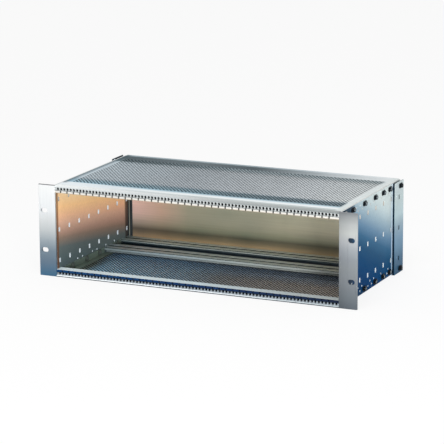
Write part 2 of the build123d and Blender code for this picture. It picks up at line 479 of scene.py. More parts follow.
@dataclass(frozen=True)
class RubberFinish:
    """Matt dark rubber with a chalky bloom and a painted highlight along its ridge."""

    name: str
    slot: Slot
    body: Colour
    bloom: Colour
    ridge: Colour
    ridge_line: Limit = Limit(Axis.ACROSS, 210.4, 211.8)
    roughness: float = 0.7
    wear: float = 0.2
    bloom_scale: float = 60.0
    bloom_share: float = 0.7
    pebble_scale: float = 2400.0
    pebble_strength: float = 0.25
    pebble_depth: float = 0.2

    def material(self) -> bpy.types.Material:
        """Builds the material.

        Returns:
            A matt material with a mottled bloom and a fine pebble.
        """
        material = bpy.data.materials.new(self.name)
        shader = Shader(material)
        place = shader.coordinates()
        cloud = shader.noise(place, self.bloom_scale, 5.0)
        pebble = shader.noise(place, self.pebble_scale, 1.0)
        colour = shader.mix(cloud * self.bloom_share, self.body, self.bloom)
        # Painted highlight: a pale band along the gasket's ridge.
        colour = shader.mix(self.ridge_line.cover(shader, place), colour, self.ridge)
        shader.surface({
            "Base Color": colour,
            "Roughness": self.roughness + (cloud - 0.5) * self.wear,
            "Normal": shader.bump(pebble, self.pebble_strength, self.pebble_depth),
        })
        return material


# Mesh building


class Shell:
    """A mesh under construction, in millimetres."""

    def __init__(self) -> None:
        """Starts an empty mesh."""
        self.bm = bmesh.new()

    def add(self, mesh: bpy.types.Mesh) -> None:
        """Adds a finished mesh, which is then removed."""
        self.bm.from_mesh(mesh)
        bpy.data.meshes.remove(mesh)

    def loop(self, points: Iterable[Sequence[float]]) -> list[bmesh.types.BMEdge]:
        """Adds a closed loop of edges.

        Args:
            points: Its corners, in order.

        Returns:
            The edges.
        """
        corners = [self.bm.verts.new(point) for point in points]
        return [
            self.bm.edges.new((corner, corners[(i + 1) % len(corners)]))
            for i, corner in enumerate(corners)
        ]

    def fill(self, edges: list[bmesh.types.BMEdge]) -> list[bmesh.types.BMFace]:
        """Fills flat loops, leaving the inner ones open.

        Args:
            edges: Edges of one outer loop and any inner ones.

        Returns:
            The new faces.
        """
        made = bmesh.ops.triangle_fill(self.bm, edges=edges, use_beauty=True)
        return [part for part in made["geom"] if isinstance(part, bmesh.types.BMFace)]

    def thicken(self, faces: list[bmesh.types.BMFace], move: Sequence[float]) -> None:
        """Turns flat faces into a closed plate.

        Args:
            faces: Faces of one side of the plate.
            move: Step from that side to the other.
        """
        made = bmesh.ops.extrude_face_region(self.bm, geom=faces, use_keep_orig=True)
        corners = [part for part in made["geom"] if isinstance(part, bmesh.types.BMVert)]
        bmesh.ops.translate(self.bm, verts=corners, vec=move)

    def sheet(self, *loops: Iterable[Vector]) -> list[bmesh.types.BMFace]:
        """Fills the space between an outer loop and any inner ones.

        Args:
            loops: Corners of each loop, the outer one first.

        Returns:
            The new faces.
        """
        return self.fill([edge for points in loops for edge in self.loop(points)])

    def plate(
        self,
        axis: Axis,
        distance: float,
        step: float,
        outline: list[Point],
        holes: Iterable[list[Point]] = (),
    ) -> None:
        """Adds a plate with holes, square to an axis.

        Args:
            axis: The axis.
            distance: Where its first face cuts the axis.
            step: Its thickness, with the sign of the way to its other face.
            outline: Corners of its outer edge.
            holes: Corners of each hole.
        """
        faces = self.sheet(*(on_plane(points, axis, distance) for points in (outline, *holes)))
        self.thicken(faces, on_plane([(0.0, 0.0)], axis, step)[0])

    def face(self, points: Iterable[Vector]) -> None:
        """Adds one face with corners of its own."""
        self.bm.faces.new([self.bm.verts.new(point) for point in points])

    def skin(self, sections: Iterable[Sequence[Vector]]) -> list[list[bmesh.types.BMVert]]:
        """Joins sections that have equally many corners.

        Args:
            sections: Corners of each section, one after another.

        Returns:
            The corners of each section in the mesh.
        """
        rings = [[self.bm.verts.new(point) for point in section] for section in sections]
        for first, second in pairwise(rings):
            for i in range(len(first)):
                j = (i + 1) % len(first)
                self.bm.faces.new((first[i], first[j], second[j], second[i]))
        return rings

    def tube(self, outline: Sequence[Point], start: float, end: float) -> None:
        """Adds the walls of a bar along X, without its ends."""
        self.skin(on_plane(outline, Axis.ACROSS, x) for x in (start, end))

    def merge(self, distance: float) -> None:
        """Joins corners that lie within a distance of each other."""
        bmesh.ops.remove_doubles(self.bm, verts=self.bm.verts, dist=distance)

    def weld(self) -> None:
        """Joins corners that lie together and turns every face outwards."""
        self.merge(WELD_GAP)
        bmesh.ops.recalc_face_normals(self.bm, faces=self.bm.faces)

    def mesh(self, name: str) -> bpy.types.Mesh:
        """Ends the work.

        Args:
            name: Name of the mesh.

        Returns:
            The mesh, still in millimetres.
        """
        mesh = bpy.data.meshes.new(name)
        self.bm.to_mesh(mesh)
        self.bm.free()
        return mesh


def ring(diameter: float, count: int, centre: Point = (0.0, 0.0), turn: float = 0.0) -> list[Point]:
    """Corners of a regular polygon.

    Args:
        diameter: Its size across the corners.
        count: Number of its corners.
        centre: Its middle.
        turn: Angle of the first corner, in steps between corners.

    Returns:
        The corners, anticlockwise.
    """
    angles = [2 * math.pi * (i + turn) / count for i in range(count)]
    return [
        (centre[0] + diameter / 2 * math.cos(a), centre[1] + diameter / 2 * math.sin(a))
        for a in angles
    ]


def rounded(
    width: float, height: float, radius: float, centre: Point, steps: int = 4
) -> list[Point]:
    """Corners of a rectangle with rounded corners.

    Args:
        width: Its full width.
        height: Its full height.
        radius: Radius of its corners.
        centre: Its middle.
        steps: Parts of each rounding.

    Returns:
        The corners, anticlockwise.
    """
    points = []
    for quarter, (sx, sy) in enumerate(((1, 1), (-1, 1), (-1, -1), (1, -1))):
        cx = centre[0] + sx * (width / 2 - radius)
        cy = centre[1] + sy * (height / 2 - radius)
        for step in range(steps + 1):
            angle = math.pi / 2 * (quarter + step / steps)
            points.append((cx + radius * math.cos(angle), cy + radius * math.sin(angle)))
    return points


def oblong(across: Point, up: Point) -> list[Point]:
    """Corners of a rectangle between two values of each of its axes."""
    return [(across[0], up[0]), (across[1], up[0]), (across[1], up[1]), (across[0], up[1])]


def on_plane(points: Iterable[Point], axis: Axis, distance: float = 0.0) -> list[Vector]:
    """Puts flat points on a plane square to an axis.

    Args:
        points: Their values on the two other axes.
        axis: The axis.
        distance: Where the plane cuts it.

    Returns:
        The points in space.
    """
    at = list(Axis).index(axis)
    return [Vector((*point[:at], distance, *point[at:])) for point in points]


def add_object(name: str, data: bpy.types.ID) -> bpy.types.Object:
    """Adds an object to the scene.

    Args:
        name: Its name.
        data: Its mesh, lamp or camera.

    Returns:
        The object.
    """
    made = bpy.data.objects.new(name, data)
    bpy.context.scene.collection.objects.link(made)
    return made


class Repeater:
    """Geometry Nodes that set copies of one cell on points."""

    def __init__(self) -> None:
        """Builds the two trees: rows of copies, and copies on given points."""
        self.rows_tree = self._rows()
        self.points_tree = self._points()

    @staticmethod
    def _tree(name: str, inputs: dict[str, str]) -> tuple[Nodes, dict[str, Wire]]:
        """Starts a tree with one geometry output.

        Args:
            name: Name of the tree.
            inputs: Kind of socket for each named input.

        Returns:
            The tree, and a wire for each input.
        """
        tree = bpy.data.node_groups.new(name, "GeometryNodeTree")
        nodes = Nodes(tree)
        for title, kind in inputs.items():
            tree.interface.new_socket(title, in_out="INPUT", socket_type=f"NodeSocket{kind}")
        tree.interface.new_socket("Geometry", in_out="OUTPUT", socket_type="NodeSocketGeometry")
        entry = tree.nodes.new("NodeGroupInput")
        return nodes, {title: Wire(nodes, entry.outputs[title]) for title in inputs}

    @staticmethod
    def _end(nodes: Nodes, inputs: dict[str, Wire], points: Wire) -> bpy.types.NodeTree:
        """Ends a tree with copies of the cell, made real and dressed.

        Args:
            nodes: The tree.
            inputs: Its inputs.
            points: Points that the copies stand on.

        Returns:
            The finished tree.
        """
        source = {"Object": inputs["Cell"]}
        cell = nodes.node("GeometryNodeObjectInfo", values=source, output="Geometry")
        stand = {"Points": points, "Instance": cell}
        copies = nodes.node("GeometryNodeInstanceOnPoints", values=stand)
        real = nodes.node("GeometryNodeRealizeInstances", values={"Geometry": copies})
        coat = {"Geometry": real, "Material": inputs["Finish"]}
        dressed = nodes.node("GeometryNodeSetMaterial", values=coat)
        nodes.node("NodeGroupOutput", values={"Geometry": dressed})
        return nodes.tree

    def _rows(self) -> bpy.types.NodeTree:
        """Builds the tree for rows of copies, each second row shifted.

        Returns:
            The tree.
        """
        nodes, inputs = self._tree(
            "Rows of cells",
            {
                "Geometry": "Geometry",
                "Cell": "Object",
                "Columns": "Int",
                "Rows": "Int",
                "Column distance": "Float",
                "Row distance": "Float",
                "Row shift": "Float",
                "Start": "Vector",
                "Finish": "Material",
            },
        )
        columns = inputs["Columns"]
        index = nodes.node("GeometryNodeInputIndex")
        row = math.floor(index / columns)
        odd = row - math.floor(row / 2) * 2
        across = (index - row * columns) * inputs["Column distance"] + odd * inputs["Row shift"]
        step = {"X": across, "Y": row * inputs["Row distance"]}
        place = nodes.node("ShaderNodeCombineXYZ", values=step)
        move = {0: place, 1: inputs["Start"]}
        place = nodes.node("ShaderNodeVectorMath", {"operation": "ADD"}, move)
        points = {"Count": columns * inputs["Rows"], "Position": place}
        return self._end(nodes, inputs, nodes.node("GeometryNodePoints", values=points))

    def _points(self) -> bpy.types.NodeTree:
        """Builds the tree for copies on the corners of the object that carries it.

        Returns:
            The tree.
        """
        kinds = {"Geometry": "Geometry", "Cell": "Object", "Finish": "Material"}
        nodes, inputs = self._tree("Cells on points", kinds)
        return self._end(nodes, inputs, inputs["Geometry"])

    @staticmethod
    def _run(
        tree: bpy.types.NodeTree,
        host: bpy.types.Mesh,
        cell: bpy.types.Mesh,
        values: dict[str, object],
    ) -> bpy.types.Mesh:
        """Runs a tree once.

        Args:
            tree: The tree.
            host: Mesh that carries it, which is used up.
            cell: Mesh of one cell, which is used up.
            values: Values of its other inputs, by name.

        Returns:
            The result as a plain mesh.
        """
        carrier, pattern = add_object("repeater", host), add_object("cell", cell)
        modifier = carrier.modifiers.new("Repeat", "NODES")
        modifier.node_group = tree
        sockets = {item.name: item.identifier for item in tree.interface.items_tree}
        for name, value in {**values, "Cell": pattern}.items():
            modifier[sockets[name]] = value
        evaluated = carrier.evaluated_get(bpy.context.evaluated_depsgraph_get())
        result = bpy.data.meshes.new_from_object(evaluated)
        for used, data in ((carrier, host), (pattern, cell)):
            bpy.data.objects.remove(used)
            bpy.data.meshes.remove(data)
        return result

    def rows(
        self,
        cell: bpy.types.Mesh,
        columns: int,
        rows: int,
        distances: Point,
        shift: float,
        start: Sequence[float],
        finish: bpy.types.Material,
    ) -> bpy.types.Mesh:
        """Sets copies of a cell in rows.

        Args:
            cell: Mesh of one cell, which is used up.
            columns: Copies in a row, along X.
            rows: Number of rows, along Y.
            distances: Distance between columns and between rows.
            shift: Step of each second row along X.
            start: Place of the first copy.
            finish: Material of the copies.

        Returns:
            The copies as one plain mesh.
        """
        values = {
            "Columns": columns,
            "Rows": rows,
            "Column distance": distances[0],
            "Row distance": distances[1],
            "Row shift": shift,
            "Start": start,
            "Finish": finish,
        }
        return self._run(self.rows_tree, bpy.data.meshes.new("host"), cell, values)

    def on_points(
        self, cell: bpy.types.Mesh, points: Iterable[Sequence[float]], finish: bpy.types.Material
    ) -> bpy.types.Mesh:
        """Sets a copy of a cell on each point.

        Args:
            cell: Mesh of one cell, which is used up.
            points: Places of the copies.
            finish: Material of the copies.

        Returns:
            The copies as one plain mesh.
        """
        host = bpy.data.meshes.new("host")
        host.from_pydata([tuple(point) for point in points], [], [])
        return self._run(self.points_tree, host, cell, {"Finish": finish})


@dataclass
class Workshop:
    """What every sub-assembly needs to make and hand over its pieces."""

    nodes: dict[str, bpy.types.Object]
    repeater: Repeater
    sharp_angle: float = math.radians(32)
    bevel_angle: float = math.radians(50)
    made: dict[str, bpy.types.Material] = field(default_factory=dict)

    def coat(self, finish: MetalFinish | RubberFinish) -> bpy.types.Material:
        """Gives the material of a finish, built once.

        Args:
            finish: The finish.

        Returns:
            Its material.
        """
        if finish.name not in self.made:
            self.made[finish.name] = finish.material()
        return self.made[finish.name]

    def dress(self, node: str, finish: MetalFinish | RubberFinish) -> None:
        """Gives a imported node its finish.

        Args:
            node: Name of the node.
            finish: Its finish.
        """
        data = self.nodes[node].data
        data.materials.clear()
        data.materials.append(self.coat(finish))
        log.info("%s wears %s", node, finish.name)

    def piece(
        self,
        shell: Shell,
        name: str,
        finish: MetalFinish | RubberFinish,
        replaces: Sequence[str] = (),
        edge: float = 0.0,
    ) -> None:
        """Hands over a finished piece.

        Args:
            shell: Its mesh, which is used up.
            name: Name of the piece.
            finish: Its finish.
            replaces: Nodes that it stands for.
            edge: Width of the bevel on its sharp edges.
        """
        shell.weld()
        for part in shell.bm.faces:
            part.smooth = True
        for part in shell.bm.edges:
            part.smooth = part.is_manifold and part.calc_face_angle(0.0) < self.sharp_angle
        obj = add_object(name, shell.mesh(name))
        if edge:
            self._bevel(obj, edge)
        obj.data.transform(Matrix.Scale(MM, 4))
        obj.data.materials.clear()
        obj.data.materials.append(self.coat(finish))
        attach(obj, "root")
        if replaces:
            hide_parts(*replaces)
        log.info("%s has %d faces", name, len(obj.data.polygons))

    def _bevel(self, obj: bpy.types.Object, edge: float) -> None:
        """Bevels the sharp edges of a piece and keeps the result as its mesh.

        Args:
            obj: The piece.
            edge: Width of the bevel.
        """
        modifier = obj.modifiers.new("Edge", "BEVEL")
        modifier.width = edge
        modifier.segments = 2
        modifier.limit_method = "ANGLE"
        modifier.angle_limit = self.bevel_angle
        plain = obj.data
        evaluated = obj.evaluated_get(bpy.context.evaluated_depsgraph_get())
        obj.data = bpy.data.meshes.new_from_object(evaluated)
        obj.modifiers.clear()
        name = plain.name
        bpy.data.meshes.remove(plain)
        obj.data.name = name


# Sub-assemblies


@dataclass
class Covers:
    """Top and bottom cover: fine perforated sheet with side tabs and a rear lip."""

    shop: Workshop
    thickness: float = 1.0
    hole: float = 3.7
    hole_corners: int = 8
    upper_pitch: Point = (5.66, 3.5)
    lower_pitch: Point = (6.0, 3.0)
    upper_field: Point = (33.0, 201.0)
    lower_field: Point = (28.0, 201.0)
    side_margin: float = 8.0
    tab_height: float = 8.7
    tabs: tuple[Point, ...] = ((23.5, 146.0), (173.0, 200.0))
    lip: float = 2.6
    screw_hole: float = SCREW_HOLE
    screw_level: float = SCREW_LEVEL

    def cell(self, column: float, row: float) -> bpy.types.Mesh:
        """One hole in its flat oblong of sheet.

        Args:
            column: Distance between holes of a row.
            row: Distance between rows.

        Returns:
            A flat mesh round the origin.
        """
        shell = Shell()
        w, h = column / 2, row / 2
        outer = [(-w, -h), (0.0, -h), (w, -h), (w, h), (0.0, h), (-w, h)]
        inner = ring(self.hole, self.hole_corners, turn=0.5)
        shell.sheet(*(on_plane(points, Axis.HEIGHT) for points in (outer, inner)))
        return shell.mesh("hole")

    def build(self, end: End, screws: Sequence[float], finish: MetalFinish) -> None:
        """Makes one cover in place of its node.

        Args:
            end: Upper or lower cover.
            screws: Depths of the screws through its tabs.
            finish: Its finish.
        """
        upper = end is End.UPPER
        node = "top_cover" if upper else "bottom_cover"
        box = Box.of(node)
        skin = box.high.z if upper else box.low.z
        inside = skin - end.value * self.thickness
        half, rear = box.high.x, box.high.y
        shell = self.perforated(
            self.upper_pitch if upper else self.lower_pitch,
            self.upper_field if upper else self.lower_field,
            (half, skin),
            finish,
        )
        rim = [e for e in shell.bm.edges if e.is_boundary and e.calc_length() > self.hole / 2]
        outline = on_plane(oblong((-half, half), (box.low.y, rear)), Axis.HEIGHT, skin)
        shell.fill(shell.loop(outline) + rim)
        shell.thicken(list(shell.bm.faces), (0, 0, -end.value * self.thickness))
        for side in Side:
            for first, last in self.tabs:
                tab = oblong((first, last), (inside, inside - end.value * self.tab_height))
                holes = [
                    ring(self.screw_hole, HOLE_CORNERS, (y, end.value * self.screw_level))
                    for y in screws
                    if first < y < last
                ]
                step = -side.value * self.thickness
                shell.plate(Axis.ACROSS, side.value * half, step, tab, holes)
        lip = oblong((-half, half), (inside, inside - end.value * self.lip))
        shell.plate(Axis.DEPTH, rear, -self.thickness, lip)
        self.shop.piece(shell, f"{node}_sheet", finish, [node])

    def perforated(
        self, pitch: Point, field_ends: Point, reach: Point, finish: MetalFinish
    ) -> Shell:
        """Makes the perforated field of one cover.

        Args:
            pitch: Distances between columns and between rows of holes.
            field_ends: Depths of the front and rear end of the field.
            reach: Half of the cover's width, and the height of its skin.
            finish: Its finish.

        Returns:
            A flat mesh whose holes are open.
        """
        half, skin = reach
        column, row = pitch
        start, stop = field_ends
        columns = int(2 * (half - self.side_margin) / column - 0.5)
        rows = int((stop - start) / row)
        depth = start + (stop - start - rows * row) / 2
        corner = (-(columns - 0.5) * column / 2, depth + row / 2, skin)
        cell, coat = self.cell(column, row), self.shop.coat(finish)
        shell = Shell()
        shell.add(self.shop.repeater.rows(cell, columns, rows, pitch, column / 2, corner, coat))
        shell.merge(CELL_GAP)
        return shell


@dataclass
class NotchedBar:
    """A bar along X whose section changes from plain to notched and back."""

    plain: list[Point]
    notched: list[Point]
    walls: list[list[Point]]
    pitch: float
    notch: float
    length: float
    core: list[Point]
    offset: float = 0.0

    def cell(self) -> bpy.types.Mesh:
        """One pitch of the bar, with its notch in the middle.

        Returns:
            An open mesh round X = 0.
        """
        shell = Shell()
        half, cut = self.pitch / 2, self.notch / 2
        shell.tube(self.plain, -half, -cut)
        shell.tube(self.notched, -cut, cut)
        shell.tube(self.plain, cut, half)
        shell.tube(self.core, -half, half)
        for x in (-cut, cut):
            for wall in self.walls:
                shell.face(on_plane(wall, Axis.ACROSS, x))
        return shell.mesh("pitch")

    def shell(self, shop: Workshop, finish: MetalFinish) -> Shell:
        """Sets the cells in a row and closes the ends.

        Args:
            shop: Workshop with the repeater.
            finish: Finish of the bar.

        Returns:
            The closed bar.
        """
        count = int((self.length - 2 * abs(self.offset)) / self.pitch)
        reach = count * self.pitch / 2
        start = (self.offset - (count - 1) * self.pitch / 2, 0, 0)
        shell = Shell()
        shell.add(
            shop.repeater.rows(
                self.cell(), count, 1, (self.pitch, 0.0), 0.0, start, shop.coat(finish)
            )
        )
        for sign in (-1, 1):
            end = sign * self.length / 2
            sections = (self.plain, self.core)
            for section in sections:
                shell.tube(section, self.offset + sign * reach, end)
            shell.sheet(*(on_plane(section, Axis.ACROSS, end) for section in sections))
        return shell


@dataclass
class FrontRails:
    """Upper and lower front rail with notched lips, and their threaded strips."""

    shop: Workshop
    rim: float = 8.0
    rim_height: float = 1.0
    body: float = 14.0
    foot: float = 22.0
    foot_thickness: float = 2.5
    mouth: float = 4.9
    cavity: float = 6.8
    cavity_rear: float = 4.2
    lip: float = 1.6
    strip_level: float = 61.25
    screw_level: float = SCREW_LEVEL
    screw_depth: float = 9.0
    core: float = RAIL_CORE
    notch_pitch: float = 2 * MODULE
    notch_width: float = 2.0
    notch_depth: float = 2.9
    hole_width: float = 3.8
    hole_height: float = 4.0
    hole_flat: float = 0.1
    hole_pitch: float = MODULE

    def sections(self, outer: float, inner: float) -> tuple[list[Point], list[Point], list[Point]]:
        """Sections of the upper rail.

        Args:
            outer: Level of its rim.
            inner: Level of its face towards the bay.

        Returns:
            The plain section, the notched one and the wall of a notch.
        """
        deck = outer - self.rim_height
        low, high = self.strip_level - self.mouth / 2, self.strip_level + self.mouth / 2
        floor, roof = self.strip_level - self.cavity / 2, self.strip_level + self.cavity / 2
        cut = low - self.notch_depth
        back = [
            (self.lip, high), (0, high), (0, outer), (self.rim, outer), (self.rim, deck),
            (self.foot, deck), (self.foot, deck - self.foot_thickness),
            (self.body, deck - self.foot_thickness), (self.body, inner), (0, inner), (0, cut),
        ]
        rear = self.cavity_rear
        pocket = [(self.lip, floor), (rear, floor), (rear, roof), (self.lip, roof)]
        plain = [*back, (0, low), (self.lip, low), *pocket]
        notched = [*back, (self.lip, cut), *pocket]
        wall = [(0, cut), (self.lip, cut), (self.lip, floor), (self.lip, low), (0, low)]
        return plain, notched, wall

    def build(self, end: End, rail: MetalFinish, strip: MetalFinish) -> None:
        """Makes one rail and its strip in place of their nodes.

        Args:
            end: Upper or lower rail.
            rail: Finish of the rail.
            strip: Finish of the strip.
        """
        node = f"front_rail_{end.word}"
        box = Box.of(node)
        inner, outer = box.levels
        flip = end.value
        plain, notched, wall = (
            [(y, flip * z) for y, z in points] for points in self.sections(outer, inner)
        )
        core = ring(self.core, SHANK_CORNERS, (self.screw_depth, flip * self.screw_level))
        bar = NotchedBar(
            plain, notched, [wall], self.notch_pitch, self.notch_width,
            box.high.x - box.low.x, core, -self.hole_pitch / 2,
        )
        self.shop.piece(bar.shell(self.shop, rail), f"{node}_extrusion", rail, [node])
        self.build_strip(end, strip)

    def build_strip(self, end: End, finish: MetalFinish) -> None:
        """Makes one threaded strip with round holes.

        Args:
            end: Upper or lower strip.
            finish: Its finish.
        """
        node = f"threaded_strip_{end.word}"
        box = Box.of(node)
        width, height = self.hole_pitch / 2, (box.high.z - box.low.z) / 2
        edge = (-height, height)
        outer = oblong((-width, width), edge)
        corner = self.hole_width / 2 - self.hole_flat / 2
        oval = rounded(self.hole_width, self.hole_height, corner, (0.0, 0.0))
        shell = Shell()
        shell.sheet(*(on_plane(points, Axis.HEIGHT) for points in (outer, oval)))
        count = int((box.high.x - box.low.x) / self.hole_pitch)
        strip = Shell()
        strip.add(
            self.shop.repeater.rows(
                shell.mesh("thread"), count, 1, (self.hole_pitch, 0.0), 0.0,
                (-(count - 1) * width, 0, 0), self.shop.coat(finish),
            )
        )
        strip.merge(CELL_GAP)
        for sign in (-1, 1):
            end_piece = oblong((sign * count * width, sign * box.high.x), edge)
            strip.face(on_plane(end_piece, Axis.HEIGHT))
        strip.merge(CELL_GAP)
        strip.thicken(list(strip.bm.faces), (0, 0, box.low.y - box.high.y))
        turn = Matrix.Rotation(math.pi / 2, 4, "X")
        strip.bm.transform(Matrix.Translation((0, box.low.y, box.middle.z)) @ turn)
        self.shop.piece(strip, f"{node}_drilled", finish, [node])


@dataclass
class CardRails:
    """Middle and rear rails: grooved bars with rows of short slots."""

    shop: Workshop
    plate: float = 4.5
    stem: float = 11.0
    groove: float = 5.4
    groove_depth: float = 1.0
    groove_count: int = 1
    slot_width: float = 1.0
    slot_depth: float = 0.8
    slot_length: float = 2.0
    slot_pitch: float = MODULE
    screw_level: float = SCREW_LEVEL
    core: float = RAIL_CORE

    def sections(
        self, half: float, inner: float, outer: float
    ) -> tuple[list[Point], list[Point], list[list[Point]]]:
        """Sections of an upper rail, about its middle.

        Args:
            half: Half of its width.
            inner: Level of its face towards the bay.
            outer: Level of the end of its stem.

        Returns:
            The plain section, the slotted one and the walls of the slots.
        """
        shoulder, stem = inner + self.plate, self.stem / 2
        top = [
            (half, inner), (half, shoulder), (stem, shoulder), (stem, outer),
            (-stem, outer), (-stem, shoulder), (-half, shoulder), (-half, inner),
        ]
        step = 2 * half / (self.groove_count + 1)
        plain, slotted, walls = list(top), list(top), []
        for land in range(self.groove_count + 1):
            middle = -half + step * (land + 0.5)
            left, right = middle - self.slot_width / 2, middle + self.slot_width / 2
            floor = inner + self.slot_depth
            wall = [(left, inner), (left, floor), (right, floor), (right, inner)]
            plain += [wall[0], wall[-1]]
            slotted += wall
            walls.append(wall)
            if land < self.groove_count:
                at = -half + step * (land + 1)
                near, far = at - self.groove / 2, at + self.groove / 2
                bed = inner + self.groove_depth
                for section in (plain, slotted):
                    section += [(near, inner), (near, bed), (far, bed), (far, inner)]
        return plain, slotted, walls

    def build(self, stem: str, end: End, finish: MetalFinish) -> None:
        """Makes one rail in place of its node.

        Args:
            stem: Name of the node without its ending.
            end: Upper or lower rail.
            finish: Its finish.
        """
        node = f"{stem}_{end.word}"
        box = Box.of(node)
        middle, half = box.middle.y, (box.high.y - box.low.y) / 2
        plain, slotted, walls = self.sections(half, *box.levels)
        plain, slotted, *walls = (
            [(middle + y, end.value * z) for y, z in points] for points in (plain, slotted, *walls)
        )
        core = ring(self.core, SHANK_CORNERS, (middle, end.value * self.screw_level))
        bar = NotchedBar(
            plain, slotted, walls, self.slot_pitch, self.slot_length, box.high.x - box.low.x, core
        )
        self.shop.piece(bar.shell(self.shop, finish), f"{node}_extrusion", finish, [node])


@dataclass
class SideWalls:
    """Side panels with upright slots and small locating holes."""

    shop: Workshop
    slot: Point = WALL_SLOT
    slot_corner: float = WALL_SLOT_CORNER
    slot_first: float = 11.0
    slot_pitch: float = 30.0
    slot_columns: int = 8
    slot_row: float = WALL_SLOT_ROW
    screw_hole: float = SCREW_HOLE
    locating_hole: float = 2.8
    screw_level: float = SCREW_LEVEL
    second_level: float = 54.2
    locating: tuple[float, ...] = (56.3, 71.9, 102.5, 115.6, 176.2)
    second: tuple[float, ...] = (64.0, 79.0, 109.5, 124.0, 152.0, 180.0)

    def build(self, side: Side, screws: Sequence[float], finish: MetalFinish) -> None:
        """Makes one side panel in place of its node.

        Args:
            side: Left or right panel.
            screws: Depths of the screws through it.
            finish: Its finish.
        """
        node = f"side_panel_{side.word}"
        box = Box.of(node)
        near, far = box.sides
        holes = []
        for column in range(self.slot_columns):
            depth = self.slot_first + column * self.slot_pitch
            for row in (-1, 0, 1):
                place = (depth, row * self.slot_row)
                holes.append(rounded(*self.slot, self.slot_corner, place, CORNER_STEPS))
        for end in End:
            for depths, size, level in (
                (screws, self.screw_hole, self.screw_level),
                (self.locating, self.locating_hole, self.screw_level),
                (self.second, self.locating_hole, self.second_level),
            ):
                holes += [ring(size, HOLE_CORNERS, (y, end.value * level)) for y in depths]
        outline = oblong((box.low.y, box.high.y), (box.low.z, box.high.z))
        shell = Shell()
        shell.plate(Axis.ACROSS, near, far - near, outline, holes)
        self.shop.piece(shell, f"{node}_sheet", finish, [node])


@dataclass
class RackFlanges:
    """Angles with two rack slots each."""

    shop: Workshop
    thickness: float = 3.0
    return_thickness: float = 2.0
    return_setback: float = 2.2
    slot_length: float = 10.3
    slot_width: float = 6.8
    slot_flat: float = 0.02
    slot_steps: int = 8
    slot_reach: float = 232.55
    slot_level: float = 28.575
    screw_hole: float = SCREW_HOLE
    screw_level: float = SCREW_LEVEL
    screw_depth: float = 9.0
    edge: float = 0.35

    def build(self, side: Side, finish: MetalFinish) -> None:
        """Makes one flange in place of its node.

        Args:
            side: Left or right flange.
            finish: Its finish.
        """
        node = f"rack_flange_{side.word}"
        box = Box.of(node)
        seat = Box.of(f"side_panel_{side.word}").sides[1]
        corner = self.slot_width / 2 - self.slot_flat / 2
        slots = [
            rounded(
                self.slot_length, self.slot_width, corner,
                (side.value * self.slot_reach, end.value * self.slot_level), self.slot_steps,
            )
            for end in End
        ]
        outline = oblong(tuple(box.sides), (box.low.z, box.high.z))
        shell = Shell()
        shell.plate(Axis.DEPTH, 0.0, self.thickness, outline, slots)
        level = box.high.z - self.return_setback
        leg = oblong((self.thickness, box.high.y), (-level, level))
        holes = [
            ring(self.screw_hole, HOLE_CORNERS, (self.screw_depth, end.value * self.screw_level))
            for end in End
        ]
        shell.plate(Axis.ACROSS, seat, side.value * self.return_thickness, leg, holes)
        self.shop.piece(shell, f"{node}_angle", finish, [node], self.edge)


@dataclass
class RearBrackets:
    """Angles that stand off the rear of the side panels."""

    shop: Workshop
    thickness: float = 1.5
    slot: Point = WALL_SLOT
    slot_corner: float = WALL_SLOT_CORNER
    slot_row: float = WALL_SLOT_ROW
    screw_hole: float = SCREW_HOLE
    screw_level: float = SCREW_LEVEL
    edge: float = 0.25

    def build(self, side: Side, screw: float, finish: MetalFinish) -> None:
        """Makes one bracket in place of its node.

        Args:
            side: Left or right bracket.
            screw: Depth of the screws through it.
            finish: Its finish.
        """
        node = f"rear_bracket_{side.word}"
        box = Box.of(node)
        near, far = box.sides
        step = side.value * self.thickness
        web = far - step
        height = (box.low.z, box.high.z)
        holes = [
            rounded(*self.slot, self.slot_corner, (box.middle.y, row * self.slot_row), CORNER_STEPS)
            for row in (-1, 0, 1)
        ]
        holes += [
            ring(self.screw_hole, HOLE_CORNERS, (screw, end.value * self.screw_level))
            for end in End
        ]
        shell = Shell()
        shell.plate(Axis.ACROSS, web, step, oblong((box.low.y, box.high.y), height), holes)
        shell.plate(Axis.DEPTH, box.low.y, self.thickness, oblong((near, web), height))
        self.shop.piece(shell, f"{node}_angle", finish, [node], self.edge)


